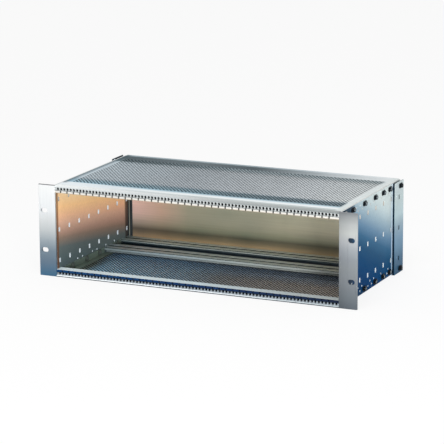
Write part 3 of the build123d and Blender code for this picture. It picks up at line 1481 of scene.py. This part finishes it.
@dataclass
class SideFasteners:
    """Washers, screws and nuts on the side walls."""

    shop: Workshop
    screw_level: float = SCREW_LEVEL
    washer_length: float = 12.5
    washer_width: float = 6.8
    washer_thickness: float = 1.0
    washer_corner: float = 2.4
    screw_hole: float = SCREW_HOLE
    washer_edge: float = 0.15
    flange_thickness: float = 2.0
    shank: float = 4.0
    shank_tip: float = 3.2
    head: float = 6.7
    head_height: float = 2.4
    flange_head_height: float = 1.6
    head_taper: float = 0.84
    chamfer: float = 0.5
    socket: float = 3.8
    socket_depth: float = 0.5
    nut: float = 7.0
    nut_corner: float = 0.4
    nut_hole: float = 4.1
    nut_edge: float = 0.2

    def points(self, depths: Sequence[float]) -> list[Place]:
        """Places at the given depths above and below."""
        return [(0.0, y, end.value * self.screw_level) for y in depths for end in End]

    def washer(self, seat: float, step: float) -> bpy.types.Mesh:
        """One oblong washer.

        Args:
            seat: X of the face that it lies on.
            step: Its thickness, with the sign of the side.

        Returns:
            Its mesh, at depth and height nought.
        """
        shell = Shell()
        outline = rounded(self.washer_length, self.washer_width, self.washer_corner, (0, 0))
        shell.plate(Axis.ACROSS, seat, step, outline, [ring(self.screw_hole, HOLE_CORNERS)])
        return shell.mesh("washer")

    def screw(self, seat: float, height: float, tip: float, sign: int) -> bpy.types.Mesh:
        """One screw with a chamfered six-sided head and a socket.

        Args:
            seat: Distance of its seat from the middle of the cage.
            height: Height of its head.
            tip: Distance of its tip from the middle of the cage.
            sign: Side of the cage.

        Returns:
            Its mesh, at depth and height nought.
        """
        shell = Shell()
        top = seat + height
        sections = [
            (tip, self.turned(self.shank_tip)),
            (tip + self.chamfer, self.turned(self.shank)),
            (seat, self.turned(self.shank)),
            (seat, self.facets(self.head)),
            (top - self.chamfer, self.facets(self.head)),
            (top, self.turned(self.head * self.head_taper)),
            (top, self.turned(self.socket)),
            (top - self.socket_depth, self.turned(self.socket)),
        ]
        rings = shell.skin(on_plane(points, Axis.ACROSS, sign * x) for x, points in sections)
        for cap in (rings[0], rings[-1]):
            shell.bm.faces.new(cap)
        return shell.mesh("screw")

    @staticmethod
    def turned(size: float) -> list[Point]:
        """Points round a turned part of a screw."""
        return ring(size, SHANK_CORNERS)

    @staticmethod
    def facets(size: float) -> list[Point]:
        """Points round a hexagon: its corners and the middles of its sides.

        Args:
            size: Its size across the corners.

        Returns:
            As many points as a turned part has.
        """
        corners = ring(size, SHANK_CORNERS // 2)
        points = []
        for corner, following in zip(corners, corners[1:] + corners[:1], strict=True):
            points += [corner, ((corner[0] + following[0]) / 2, (corner[1] + following[1]) / 2)]
        return points

    def square_nut(self, seat: float, step: float) -> bpy.types.Mesh:
        """One square nut.

        Args:
            seat: X of the face that it lies on.
            step: Its thickness, with its sign.

        Returns:
            Its mesh, at depth and height nought.
        """
        shell = Shell()
        outline = rounded(self.nut, self.nut, self.nut_corner, (0, 0), CORNER_STEPS)
        shell.plate(Axis.ACROSS, seat, step, outline, [ring(self.nut_hole, HOLE_CORNERS)])
        return shell.mesh("nut")

    def build(
        self,
        side: Side,
        cover: Sequence[float],
        rail: Sequence[float],
        dark: MetalFinish,
        steel: MetalFinish,
        black: MetalFinish,
    ) -> None:
        """Makes the fasteners of one side in place of their nodes.

        Args:
            side: Left or right side.
            cover: Depths of the cover screws.
            rail: Depths of the screws of the front, middle and rear rail.
            dark: Finish of the screws.
            steel: Finish of the nuts.
            black: Finish of the washers.
        """
        word, sign = side.word, side.value
        panel = Box.of(f"side_panel_{word}").reaches[1]
        bracket = Box.of(f"rear_bracket_{word}").reaches[1]
        over = self.washer_thickness
        washers = [
            (self.washer(sign * panel, sign * over), (*cover, rail[1])),
            (self.washer(sign * bracket, sign * over), rail[2:]),
        ]
        self.set_out(f"clamp_washers_{word}", "pressed", black, washers, self.washer_edge)

        tip = Box.of(f"cover_screws_{word}").reaches[0]
        screws = [(self.screw(panel + over, self.head_height, tip, sign), cover)]
        self.set_out(f"cover_screws_{word}", "turned", dark, screws)

        tip = Box.of(f"rail_screws_{word}").reaches[0]
        seats = (panel + self.flange_thickness, panel + over, bracket + over)
        heights = (self.flange_head_height, self.head_height, self.head_height)
        screws = [
            (self.screw(seat, height, tip, sign), (depth,))
            for depth, seat, height in zip(rail, seats, heights, strict=True)
        ]
        self.set_out(f"rail_screws_{word}", "turned", dark, screws)

        nut_end, nut_seat = Box.of(f"cover_nuts_{word}").reaches
        nut = self.square_nut(sign * nut_seat, sign * (nut_end - nut_seat))
        self.set_out(f"cover_nuts_{word}", "cut", steel, [(nut, cover)], self.nut_edge)

    def set_out(
        self,
        node: str,
        ending: str,
        finish: MetalFinish,
        cells: Iterable[tuple[bpy.types.Mesh, Sequence[float]]],
        edge: float = 0.0,
    ) -> None:
        """Sets copies of cells at their depths and hands them over as one piece.

        Args:
            node: Node that the piece stands for.
            ending: Last word of the piece's name.
            finish: Its finish.
            cells: Mesh of each cell, with the depths of its copies.
            edge: Width of the bevel on its sharp edges.
        """
        shell = Shell()
        coat = self.shop.coat(finish)
        for cell, depths in cells:
            shell.add(self.shop.repeater.on_points(cell, self.points(depths), coat))
        self.shop.piece(shell, f"{node}_{ending}", finish, [node], edge)


@dataclass(frozen=True)
class Lamp:
    """Soft square lamp that faces the cage, placed in metres."""

    name: str
    place: Place
    size: float
    power: float

    def build(self) -> None:
        """Sets it up, unseen in gloss."""
        data = bpy.data.lights.new(self.name, "AREA")
        data.size = self.size
        data.energy = self.power
        lamp = add_object(self.name, data)
        lamp.location = self.place
        lamp.rotation_euler = (-Vector(self.place)).to_track_quat("-Z", "Y").to_euler()
        lamp.visible_glossy = False


@dataclass
class Studio:
    """Floor, world, lamps and camera."""

    lens: float = 193.23
    sensor: float = 36.0
    sight: float = 100.0
    place: Place = (1.36299, -2.87339, 0.78683)
    azimuth: float = 24.666
    elevation: float = 13.340
    roll: float = -0.432
    floor_size: float = 30.0
    floor_glow: float = 0.85
    speckle: float = 0.1
    diffuse_level: float = 0.62
    lamps: tuple[Lamp, ...] = (
        Lamp("key", (1.65, -2.15, 0.16), 0.5, 60.0),
        Lamp("top", (0.3, -1.5, 2.1), 1.2, 22.5),
    )

    def build(self) -> None:
        """Sets up all of it."""
        self.camera()
        self.world()
        self.floor()
        for lamp in self.lamps:
            lamp.build()
        bpy.context.scene.view_settings.view_transform = "Standard"

    def camera(self) -> None:
        """Sets the camera at the photograph's viewing angle."""
        angles = (self.azimuth, self.elevation, self.roll)
        azimuth, elevation, roll = (math.radians(angle) for angle in angles)
        back = Vector((
            math.sin(azimuth) * math.cos(elevation),
            -math.cos(azimuth) * math.cos(elevation),
            math.sin(elevation),
        ))
        right = Vector((0, 0, 1)).cross(back).normalized()
        up = back.cross(right)
        turned = math.cos(roll) * right + math.sin(roll) * up
        raised = math.cos(roll) * up - math.sin(roll) * right
        camera = add_object("camera", bpy.data.cameras.new("camera"))
        turn = Matrix((turned, raised, back)).transposed().to_4x4()
        camera.matrix_world = Matrix.Translation(self.place) @ turn
        camera.data.lens = self.lens
        camera.data.sensor_width = self.sensor
        camera.data.clip_end = self.sight
        bpy.context.scene.camera = camera

    def world(self) -> None:
        """Lights the scene evenly, and shows white to the camera and in gloss."""
        world = bpy.data.worlds.new("studio")
        bpy.context.scene.world = world
        shader = Shader(world)
        lit, seen = (
            shader.node("ShaderNodeBackground", values={"Color": WHITE, "Strength": level})
            for level in (self.diffuse_level, 1.0)
        )
        share = shader.node("ShaderNodeLightPath", output="Is Camera Ray")
        for name in ("Is Glossy Ray", "Is Transmission Ray"):
            ray = shader.node("ShaderNodeLightPath", output=name)
            share = shader.node("ShaderNodeMath", {"operation": "MAXIMUM"}, {0: share, 1: ray})
        mixed = shader.node("ShaderNodeMixShader", values={0: share, 1: lit, 2: seen})
        shader.node("ShaderNodeOutputWorld", values={"Surface": mixed})

    def floor(self) -> None:
        """Lays a pale floor that keeps the cage's shadow."""
        material = bpy.data.materials.new("studio_floor")
        shader = Shader(material)
        speckle = shader.noise(shader.coordinates(), 3.0, 2.0)
        colour = shader.mix(speckle * self.speckle, tint("fbfbfb"), tint("f4f5f6"))
        plain = shader.node("ShaderNodeBsdfDiffuse", values={"Color": colour})
        glow = shader.node("ShaderNodeEmission", values={"Color": WHITE, "Strength": 1.0})
        camera = shader.node("ShaderNodeLightPath", output="Is Camera Ray")
        layers = {0: camera * self.floor_glow, 1: plain, 2: glow}
        surface = shader.node("ShaderNodeMixShader", values=layers)
        shader.node("ShaderNodeOutputMaterial", values={"Surface": surface})
        edge = (-self.floor_size / 2, self.floor_size / 2)
        mesh = bpy.data.meshes.new("floor")
        square = on_plane(oblong(edge, edge), Axis.HEIGHT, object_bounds()[0].z)
        mesh.from_pydata(square, [], [range(len(square))])
        mesh.materials.append(material)
        add_object("floor", mesh)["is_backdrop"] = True


# Finishes of this cage; most of their runs of colour are painted light, shade and reflections

Stop = tuple[float, str] | tuple[float, str, float]
EVEN_EDGE_SHARE = 0.9
EVEN_EDGE_REACH = 220.0


def up(*stops: Stop, limits: tuple[Limit, ...] = (), lean: float = 0.0) -> ToneRun:
    """Run of colours from the bottom to the top, at heights in millimetres."""
    return run_at(Axis.HEIGHT, stops, limits, lean)


def along(*stops: Stop, limits: tuple[Limit, ...] = ()) -> ToneRun:
    """Run of colours from left to right, at places in millimetres."""
    return run_at(Axis.ACROSS, stops, limits)


def back(*stops: Stop, limits: tuple[Limit, ...] = ()) -> ToneRun:
    """Run of colours from front to back, at depths in millimetres."""
    return run_at(Axis.DEPTH, stops, limits)


def run_at(
    axis: Axis, stops: Sequence[Stop], limits: tuple[Limit, ...], lean: float = 0.0
) -> ToneRun:
    """Run of colours at places in millimetres.

    Args:
        axis: Axis that it follows.
        stops: Place, colour code and cover of each stop, in order.
        limits: Bands that it is kept to.
        lean: Share of the depth that is added to a place.

    Returns:
        The run.
    """
    first, last = stops[0][0], stops[-1][0]
    shares = tuple(((place - first) / (last - first), tint(*tone)) for place, *tone in stops)
    return ToneRun(axis, first, last, shares, limits, lean)


def even(slot: Slot, name: str, code: str, **settings: object) -> MetalFinish:
    """Makes a finish whose tone drifts only a little round one colour.

    Args:
        slot: Material slot of the record.
        name: Name of the finish.
        code: Its colour, as six hexadecimal digits.
        settings: Other fields of the finish.

    Returns:
        The finish.
    """
    base = tint(code)
    dim = (*(EVEN_EDGE_SHARE * part for part in base[:3]), 1.0)
    stops = ((0.0, dim), (0.5, base), (1.0, dim))
    run = ToneRun(Axis.ACROSS, -EVEN_EDGE_REACH, EVEN_EDGE_REACH, stops)
    return MetalFinish(name, slot, (run,), **settings)


UPRIGHT_GRAIN = Grain((400.0, 400.0, 14.0), 0.05, 0.03)
OUTSIDE = Limit(Axis.ACROSS, 216.3, 230.0)
LEFT_FLANGE = MetalFinish(
    "left_flange_satin",
    Slot.FLANGE,
    (
        # Painted light and reflection: bluish and darker towards the bottom, near white towards the
        # top, then a grey line along the top edge.
        up(
            (-66.3, "46708e"), (-46.0, "687c8e"), (-30.0, "7a8b98"), (-16.0, "9ca8b0"),
            (0.0, "c4cacc"), (15.0, "dadedf"), (30.0, "ecf0f2"), (65.3, "f6f8f8"), (65.7, "74767a"),
            (66.3, "74767a"),
        ),
    ),
    grain=UPRIGHT_GRAIN,
    mottle=0.03,
    warm_share=0.0,
)
RIGHT_FLANGE = MetalFinish(
    "right_flange_satin",
    Slot.FLANGE,
    (
        # Painted light: darker at the bottom and top, lightest above the middle.
        up(
            (-66.3, "687078"), (-48.0, "7a8288"), (-30.0, "888e94"), (-11.0, "92989c"),
            (2.0, "969ca2"), (14.0, "a6acb2"), (26.0, "bcc0c4"), (38.0, "c8ccca"), (50.0, "bcc0c0"),
            (61.0, "a2a6a8"), (66.3, "888c90"),
        ),
        # Painted shade where the flange meets the cage, fading outwards.
        along((215.0, "303438", 0.3), (230.0, "303438", 0.08), (241.3, "303438", 0.0)),
    ),
    grain=UPRIGHT_GRAIN,
    mottle=0.04,
    warm_share=0.0,
)
WALL = MetalFinish(
    "passivated_wall",
    Slot.SHEET,
    (
        # Partly the passivated colour, partly painted light and reflection: dark blue-grey towards
        # the bottom, bright peach towards the top.
        up(
            (-66.0, "4a585c"), (-40.0, "566466"), (-25.0, "5e6868"), (-11.0, "8c786a"),
            (-5.0, "a88878"), (10.0, "d8ac94"), (20.0, "f0bc96"), (34.0, "ffce96"),
            (56.0, "ffdcae"), (93.0, "ffe0b4"),
            lean=0.12,
        ),
        # Painted shade: a dark band at the rear end of the inner face, beside the gasket.
        back((214.0, "3c3632", 0.0), (218.0, "3c3632", 0.85), (226.0, "3c3632", 0.85)),
        # Painted shadow of the flange's edge: a dark brown strip along the front of the inner face.
        back((3.0, "6a4020", 0.8), (8.0, "6a4020", 0.7), (9.5, "6a4020", 0.0)),
        # Painted reflection and shade on the outer face: deep blue low and towards the front, pale
        # high and towards the rear.
        up(
            (-50.0, "466078"), (-34.0, "0c3454"), (-16.0, "003460"), (0.0, "003a66"),
            (18.0, "0a4068"), (35.0, "204c6e"), (50.0, "366080"), (66.0, "62829c"),
            (86.0, "94aab6"), (101.0, "b4c4c8"), (115.0, "c4d0d0"), (168.0, "c8d4d4"),
            limits=(OUTSIDE,), lean=0.42,
        ),
        # Painted shadow on the outer face behind the flange.
        back(
            (16.0, "26384a", 0.85), (42.0, "26384a", 0.85), (54.0, "26384a", 0.0),
            limits=(OUTSIDE,),
        ),
        # Painted highlight: the sheet's cut edges painted pale.
        up(
            (-66.0, "ccd6dc"), (20.0, "d4d8da"), (38.0, "b8b0a4"), (66.0, "d4d8d8"),
            limits=(Limit(Axis.ACROSS, 215.06, 217.44),),
        ),
    ),
    metallic=0.03,
    roughness=0.45,
    mottle=0.05,
    warm_share=0.0,
    gloss=0.02,
)
BRACKET = MetalFinish(
    "passivated_bracket",
    Slot.SHEET,
    (
        # Painted light: lighter towards the top.
        up((-66.0, "9ab4c8"), (66.0, "c8d4dc")),
        # Painted shade on the bracket's step beside the wall.
        up((-66.0, "0c2030"), (66.0, "1c2c3a"), limits=(Limit(Axis.ACROSS, 219.4, 222.3),)),
        # Painted reflection and shade on the web: deep blue towards the bottom, pale towards the
        # top.
        up(
            (-66.0, "28506c"), (-44.0, "3e6480"), (-28.0, "5e829c"), (-14.0, "7090a8"),
            (4.0, "8ca4b2"), (20.0, "b0c6cc"), (40.0, "b8c8ca"), (66.0, "c6d2d4"),
            limits=(Limit(Axis.ACROSS, 222.3, 230.0),),
        ),
    ),
    metallic=0.3,
    warm_share=0.0,
    gloss=0.08,
)
BACK = MetalFinish(
    "passivated_back",
    Slot.SHEET,
    (
        # Partly the passivated colour, partly painted light and reflection: peach at the left,
        # khaki in the middle, painted lighter towards the right where the right wall shades it.
        along(
            (-215.0, "ffe0dc"), (-160.0, "e0c0ac"), (-115.0, "b0ae98"), (-60.0, "a4a692"),
            (0.0, "a8a894"), (40.0, "bab8a0"), (100.0, "f0ecd0"), (215.0, "f8f4e0"),
        ),
        # Browner along the bottom, with a dark line 44 mm below the middle, fading upwards.
        up(
            (-66.0, "8c7658", 0.9), (-55.0, "9c8462", 0.9), (-50.0, "6c624a", 0.9),
            (-44.0, "363e34", 0.9), (-36.0, "6c7860", 0.6), (-18.0, "a8a08a", 0.0),
        ),
    ),
    metallic=0.4,
    roughness=0.45,
    mottle=0.06,
)
# Painted shade: bands that hold the walls of the cover holes, which are painted dark.
SHADED_HOLE_WALLS = (
    Limit(Axis.HEIGHT, 65.16, 66.04),
    Limit(Axis.DEPTH, 27.0, 202.0),
    Limit(Axis.ACROSS, 0.0, 208.0),
)
PERFORATED_TOP = MetalFinish(
    "perforated_top",
    Slot.PERFORATED,
    (
        # Painted light: lighter towards the right.
        along(
            (-215.0, "c6d4dc"), (-60.0, "b6bec4"), (60.0, "c8ced2"), (120.0, "d8dee2"),
            (215.0, "e8eeee"),
        ),
        # Painted light and reflection: a white front margin, a painted bluish reflection band
        # behind it, a painted dark band from 202 to 220 mm deep, then a pale rear lip.
        back(
            (4.0, "f0f6f8"), (22.0, "f0f6f8"), (31.0, "98c0d2", 0.9), (50.0, "92b4c4", 0.8),
            (64.0, "8ca2b0", 0.0), (172.0, "7c949c", 0.0), (190.0, "7c949c", 0.6),
            (199.0, "7c949c", 0.6), (202.0, "16303a", 0.92), (220.0, "1e3a42", 0.92),
            (223.5, "96a8b0", 0.8), (229.0, "96a8b0", 0.8),
        ),
        # Painted light: the rear margin lighter towards the right.
        along(
            (-215.0, "c8d4d8", 0.0), (-80.0, "c8d4d8", 0.14), (0.0, "b4c0c6", 0.02),
            (40.0, "c0ccd2", 0.24), (120.0, "dce4e8", 0.66), (215.0, "ecf2f4", 0.95),
            limits=(Limit(Axis.DEPTH, 201.0, 240.0),),
        ),
        # Painted highlight on the front margin at the left.
        along(
            (-215.0, "eef6fa", 0.95), (-150.0, "e4eef4", 0.8), (-80.0, "e4eef4", 0.0),
            limits=(Limit(Axis.DEPTH, 12.0, 31.0),),
        ),
        # Painted shade: the front edge greyer towards the right.
        along(
            (-160.0, "a4aeac", 0.0), (-80.0, "a4aeac", 0.4), (0.0, "a4aeac", 0.6),
            (215.0, "acb6b4", 0.7),
            limits=(Limit(Axis.DEPTH, 0.0, 15.0),),
        ),
        # Painted shade over the front of the field, darker towards the right.
        along(
            (-170.0, "647880", 0.0), (-110.0, "647880", 0.28), (-60.0, "647880", 0.2),
            (30.0, "647880", 0.68), (215.0, "646e74", 0.73),
            limits=(Limit(Axis.DEPTH, 30.0, 54.0),),
        ),
        # Painted shade over the rear of the field at the left.
        along(
            (-215.0, "48585e", 0.85), (-130.0, "48585e", 0.6), (-30.0, "48585e", 0.0),
            limits=(Limit(Axis.DEPTH, 184.0, 202.0),),
        ),
        # Painted highlight: pale beyond 204 mm to the right, over the right edge and its tabs.
        along((204.0, "e0e8e8", 0.0), (207.5, "e0e8e8", 1.0)),
        # Painted shade along the left edge.
        along(
            (-215.0, "2c4c58", 0.9), (-211.0, "2c4c58", 0.5), (-206.0, "2c4c58", 0.0),
            limits=(Limit(Axis.DEPTH, 23.0, 240.0),),
        ),
        # Painted shade in the holes, darkest at the front and rear of the field.
        back(
            (27.0, "1c262c"), (52.0, "202a30"), (68.0, "70787e"), (165.0, "70787e"),
            (182.0, "343e42"), (202.0, "242e34"),
            limits=SHADED_HOLE_WALLS,
        ),
    ),
    metallic=0.04,
    warm_share=0.0,
    gloss=0.01,
)
PERFORATED_BOTTOM = MetalFinish(
    "perforated_bottom",
    Slot.PERFORATED,
    (
        # Painted light and reflection: dark at the left edge, bluish further in, greyer towards the
        # right.
        along(
            (-215.0, "62746c"), (-196.0, "6c7e76"), (-180.0, "a4dcff"), (-60.0, "a0c6e2"),
            (0.0, "a4acb6"), (60.0, "b0aeb0"), (215.0, "c2bab6"),
        ),
        # Painted light and shade: bluish in front of the middle rail, dark behind it.
        back(
            (84.0, "6ca0d0", 0.0), (118.0, "6ca0d0", 0.5), (142.0, "6ca0d0", 0.7),
            (152.0, "36506e", 0.85), (230.0, "203a52", 0.8),
            limits=(Limit(Axis.ACROSS, 0.0, 200.0),),
        ),
        # Painted shade at the foot of the middle rail, darker towards the right.
        along(
            (-120.0, "1c2c40", 0.0), (0.0, "1c2c40", 0.35), (215.0, "1c2c40", 0.6),
            limits=(Limit(Axis.ACROSS, 0.0, 200.0), Limit(Axis.DEPTH, 124.0, 150.0)),
        ),
        # Painted shade in the holes.
        along((-215.0, "10161c"), (215.0, "0e1012"), limits=SHADED_HOLE_WALLS),
    ),
    metallic=0.15,
    warm_share=0.02,
)
RECESS_SHADE = back(
    (0.0, "0a0e12"), (10.0, "0a0e12"),
    limits=(Limit(Axis.DEPTH, 1.55, 4.5), Limit(Axis.HEIGHT, 55.8, 64.8)),
)
UPPER_RAIL = MetalFinish(
    "upper_front_rail",
    Slot.RAIL,
    (
        # Painted light: lighter towards the top, with painted shade in tan along the lower edge of
        # the lip.
        up(
            (55.6, "b0a48c"), (56.3, "d8d0c4"), (56.9, "f0ece4"), (60.0, "dce0e0"),
            (64.4, "e0e6e8"), (65.5, "e6eaea"), (66.0, "eef2f2"), (66.2, "f2f6f6"),
        ),
        # Painted shade: the upper front face greyer towards the right.
        along(
            (-215.0, "848c8e", 0.0), (-60.0, "848c8e", 0.3), (60.0, "7c8484", 0.7),
            (215.0, "7c8484", 0.85),
            limits=(Limit(Axis.HEIGHT, 63.5, 66.3),),
        ),
        RECESS_SHADE,
    ),
    mottle=0.03,
    warm_share=0.0,
)
LOWER_RAIL = MetalFinish(
    "lower_front_rail",
    Slot.RAIL,
    (
        # Painted light: the deck pale blue-white, greyer towards the right.
        along((-215.0, "eafaff"), (0.0, "dcecf4"), (215.0, "b8c0c2")),
        # Painted shade: the lower lip greyer towards the right.
        along(
            (-215.0, "f0f6f8"), (0.0, "dce2e6"), (215.0, "a8b2b6"),
            limits=(Limit(Axis.HEIGHT, 63.0, 67.0),),
        ),
        # Painted shade: a dark line along the bottom edge.
        up((-66.2, "3c444a"), (-65.0, "3c444a"), (-64.7, "3c444a", 0.0), (-60.0, "3c444a", 0.0)),
        # Painted shade and reflection: the front of the inner lip navy, darker towards the right.
        along(
            (-215.0, "123a62"), (0.0, "142c50"), (215.0, "1a2234"),
            limits=(Limit(Axis.DEPTH, -1.0, 1.7), Limit(Axis.HEIGHT, 55.64, 60.0)),
        ),
        RECESS_SHADE,
    ),
    metallic=0.03,
    mottle=0.03,
    warm_share=0.0,
    gloss=0.05,
)
MIDDLE_RAIL = MetalFinish(
    "middle_card_rail",
    Slot.RAIL,
    (
        # Painted shade: darker towards the left end.
        along((-215.0, "98a8ac"), (-120.0, "b4c4c8"), (0.0, "c4ceca"), (215.0, "b8bcb4")),
        # Painted shade in the grooves and slots and along the front top edge.
        along((-215.0, "1c2628"), (215.0, "3c4446"), limits=(Limit(Axis.HEIGHT, 57.04, 57.9),)),
        # Painted shadow under the rail's plate, on the front of its stem.
        along((-215.0, "0c1416"), (215.0, "2c3638"), limits=(Limit(Axis.HEIGHT, 60.9, 62.2),)),
    ),
    metallic=0.3,
    mottle=0.05,
    warm_share=0.0,
)
REAR_RAIL = MetalFinish(
    "rear_card_rail",
    Slot.RAIL,
    (
        # Painted shade: darker towards the left end.
        along((-215.0, "94a6a6"), (-150.0, "cad8d4"), (215.0, "ced4c6")),
        # Painted shade in the grooves and slots and along the front top edge.
        along((-215.0, "0c1416"), (215.0, "30383a"), limits=(Limit(Axis.HEIGHT, 57.04, 58.1),)),
        # Painted shade on the front of the rail below its top, lighter towards the right.
        along(
            (-215.0, "40525c"), (215.0, "6c7a80"),
            limits=(Limit(Axis.DEPTH, 200.0, 209.5), Limit(Axis.HEIGHT, 59.4, 66.0)),
        ),
    ),
    metallic=0.3,
    mottle=0.05,
    warm_share=0.0,
)
UPPER_STRIP = MetalFinish(
    "upper_strip_plated",
    Slot.STRIP,
    (
        # Painted shadow under the lip: dark along the strip's lower edge.
        up(
            (58.0, "15191c"), (59.0, "1c2226"), (59.3, "ccd2d2"), (62.6, "d4d8d8"),
            (63.8, "c4caca"),
        ),
    ),
    metallic=0.5,
    mottle=0.04,
    warm_share=0.0,
)
LOWER_STRIP = MetalFinish(
    "lower_strip_plated",
    Slot.STRIP,
    (
        # Painted shade under the lip: dark navy along the strip's upper edge.
        up((-64.4, "b4bcc4"), (-61.0, "a4b0b8"), (-60.0, "182c48"), (-58.0, "122236")),
    ),
    metallic=0.5,
    mottle=0.04,
    warm_share=0.0,
)
STEEL = even(Slot.PLATED, "zinc_plated", "6e7872", roughness=0.4, metallic=0.6, warm_share=0.0)
HEAD = MetalFinish(
    "dark_plated",
    Slot.PLATED,
    (
        up((-66.0, "0c1218"), (66.0, "10181e")),
        # Painted highlight on the floor of each socket.
        up((-66.0, "a8b4b8"), (66.0, "a8b4b8"), limits=(Limit(Axis.ACROSS, 220.35, 220.45),)),
        up((-66.0, "5c6664"), (66.0, "8c8478"), limits=(Limit(Axis.ACROSS, 190.0, 214.9),)),
    ),
    roughness=0.35,
    metallic=0.3,
    warm_share=0.0,
    gloss=0.2,
)
BLACK = even(
    Slot.BLACKENED, "blackened", "0c1218", roughness=0.5, metallic=0.2, warm_share=0.0, gloss=0.2
)
# The third colour is a painted highlight along the gasket's ridge.
RUBBER = RubberFinish(
    "gasket_rubber_matt", Slot.RUBBER, tint("1c2224"), tint("485054"), tint("84887e")
)


@dataclass
class CardCage:
    """The whole cage, built one sub-assembly after another."""

    shop: Workshop
    cover_screws: tuple[float, ...] = (44.57, 87.69, 128.24, 184.95)
    rail_screws: tuple[float, ...] = (9.0, 159.5, 213.5)

    def build(self) -> None:
        """Makes and dresses every piece."""
        covers = Covers(self.shop)
        covers.build(End.UPPER, self.cover_screws, PERFORATED_TOP)
        covers.build(End.LOWER, self.cover_screws, PERFORATED_BOTTOM)
        fronts, cards = FrontRails(self.shop), CardRails(self.shop)
        for end in End:
            upper = end is End.UPPER
            rail = UPPER_RAIL if upper else LOWER_RAIL
            fronts.build(end, rail, UPPER_STRIP if upper else LOWER_STRIP)
            cards.build("middle_rail", end, MIDDLE_RAIL)
            cards.build("rear_rail", end, REAR_RAIL)
        walls, flanges = SideWalls(self.shop), RackFlanges(self.shop)
        brackets, fasteners = RearBrackets(self.shop), SideFasteners(self.shop)
        for side in Side:
            walls.build(side, self.cover_screws + self.rail_screws, WALL)
            flanges.build(side, LEFT_FLANGE if side is Side.LEFT else RIGHT_FLANGE)
            brackets.build(side, self.rail_screws[2], BRACKET)
            fasteners.build(side, self.cover_screws, self.rail_screws, HEAD, STEEL, BLACK)
            self.shop.dress(f"bracket_bushes_{side.word}", STEEL)
            self.shop.dress(f"gasket_{side.word}", RUBBER)
        self.shop.dress("rear_panel", BACK)
        self.shop.dress("rear_panel_screws", STEEL)


def corners(bounds: tuple[Vector, Vector]) -> list[list[float]]:
    """Two corners of a box as plain lists."""
    return [list(corner) for corner in bounds]


def main() -> None:
    """Loads the frame, builds the cage and its studio, and gathers the sizes before and after
    without keeping them.
    """
    logging.basicConfig(level=logging.INFO, format="%(message)s")
    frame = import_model()
    packed = corners(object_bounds())
    CardCage(Workshop(frame["nodes"], Repeater())).build()
    Studio().build()
    {"cad_box_m": packed, "visual_box_m": corners(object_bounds())}


if __name__ == "__main__":
    main()
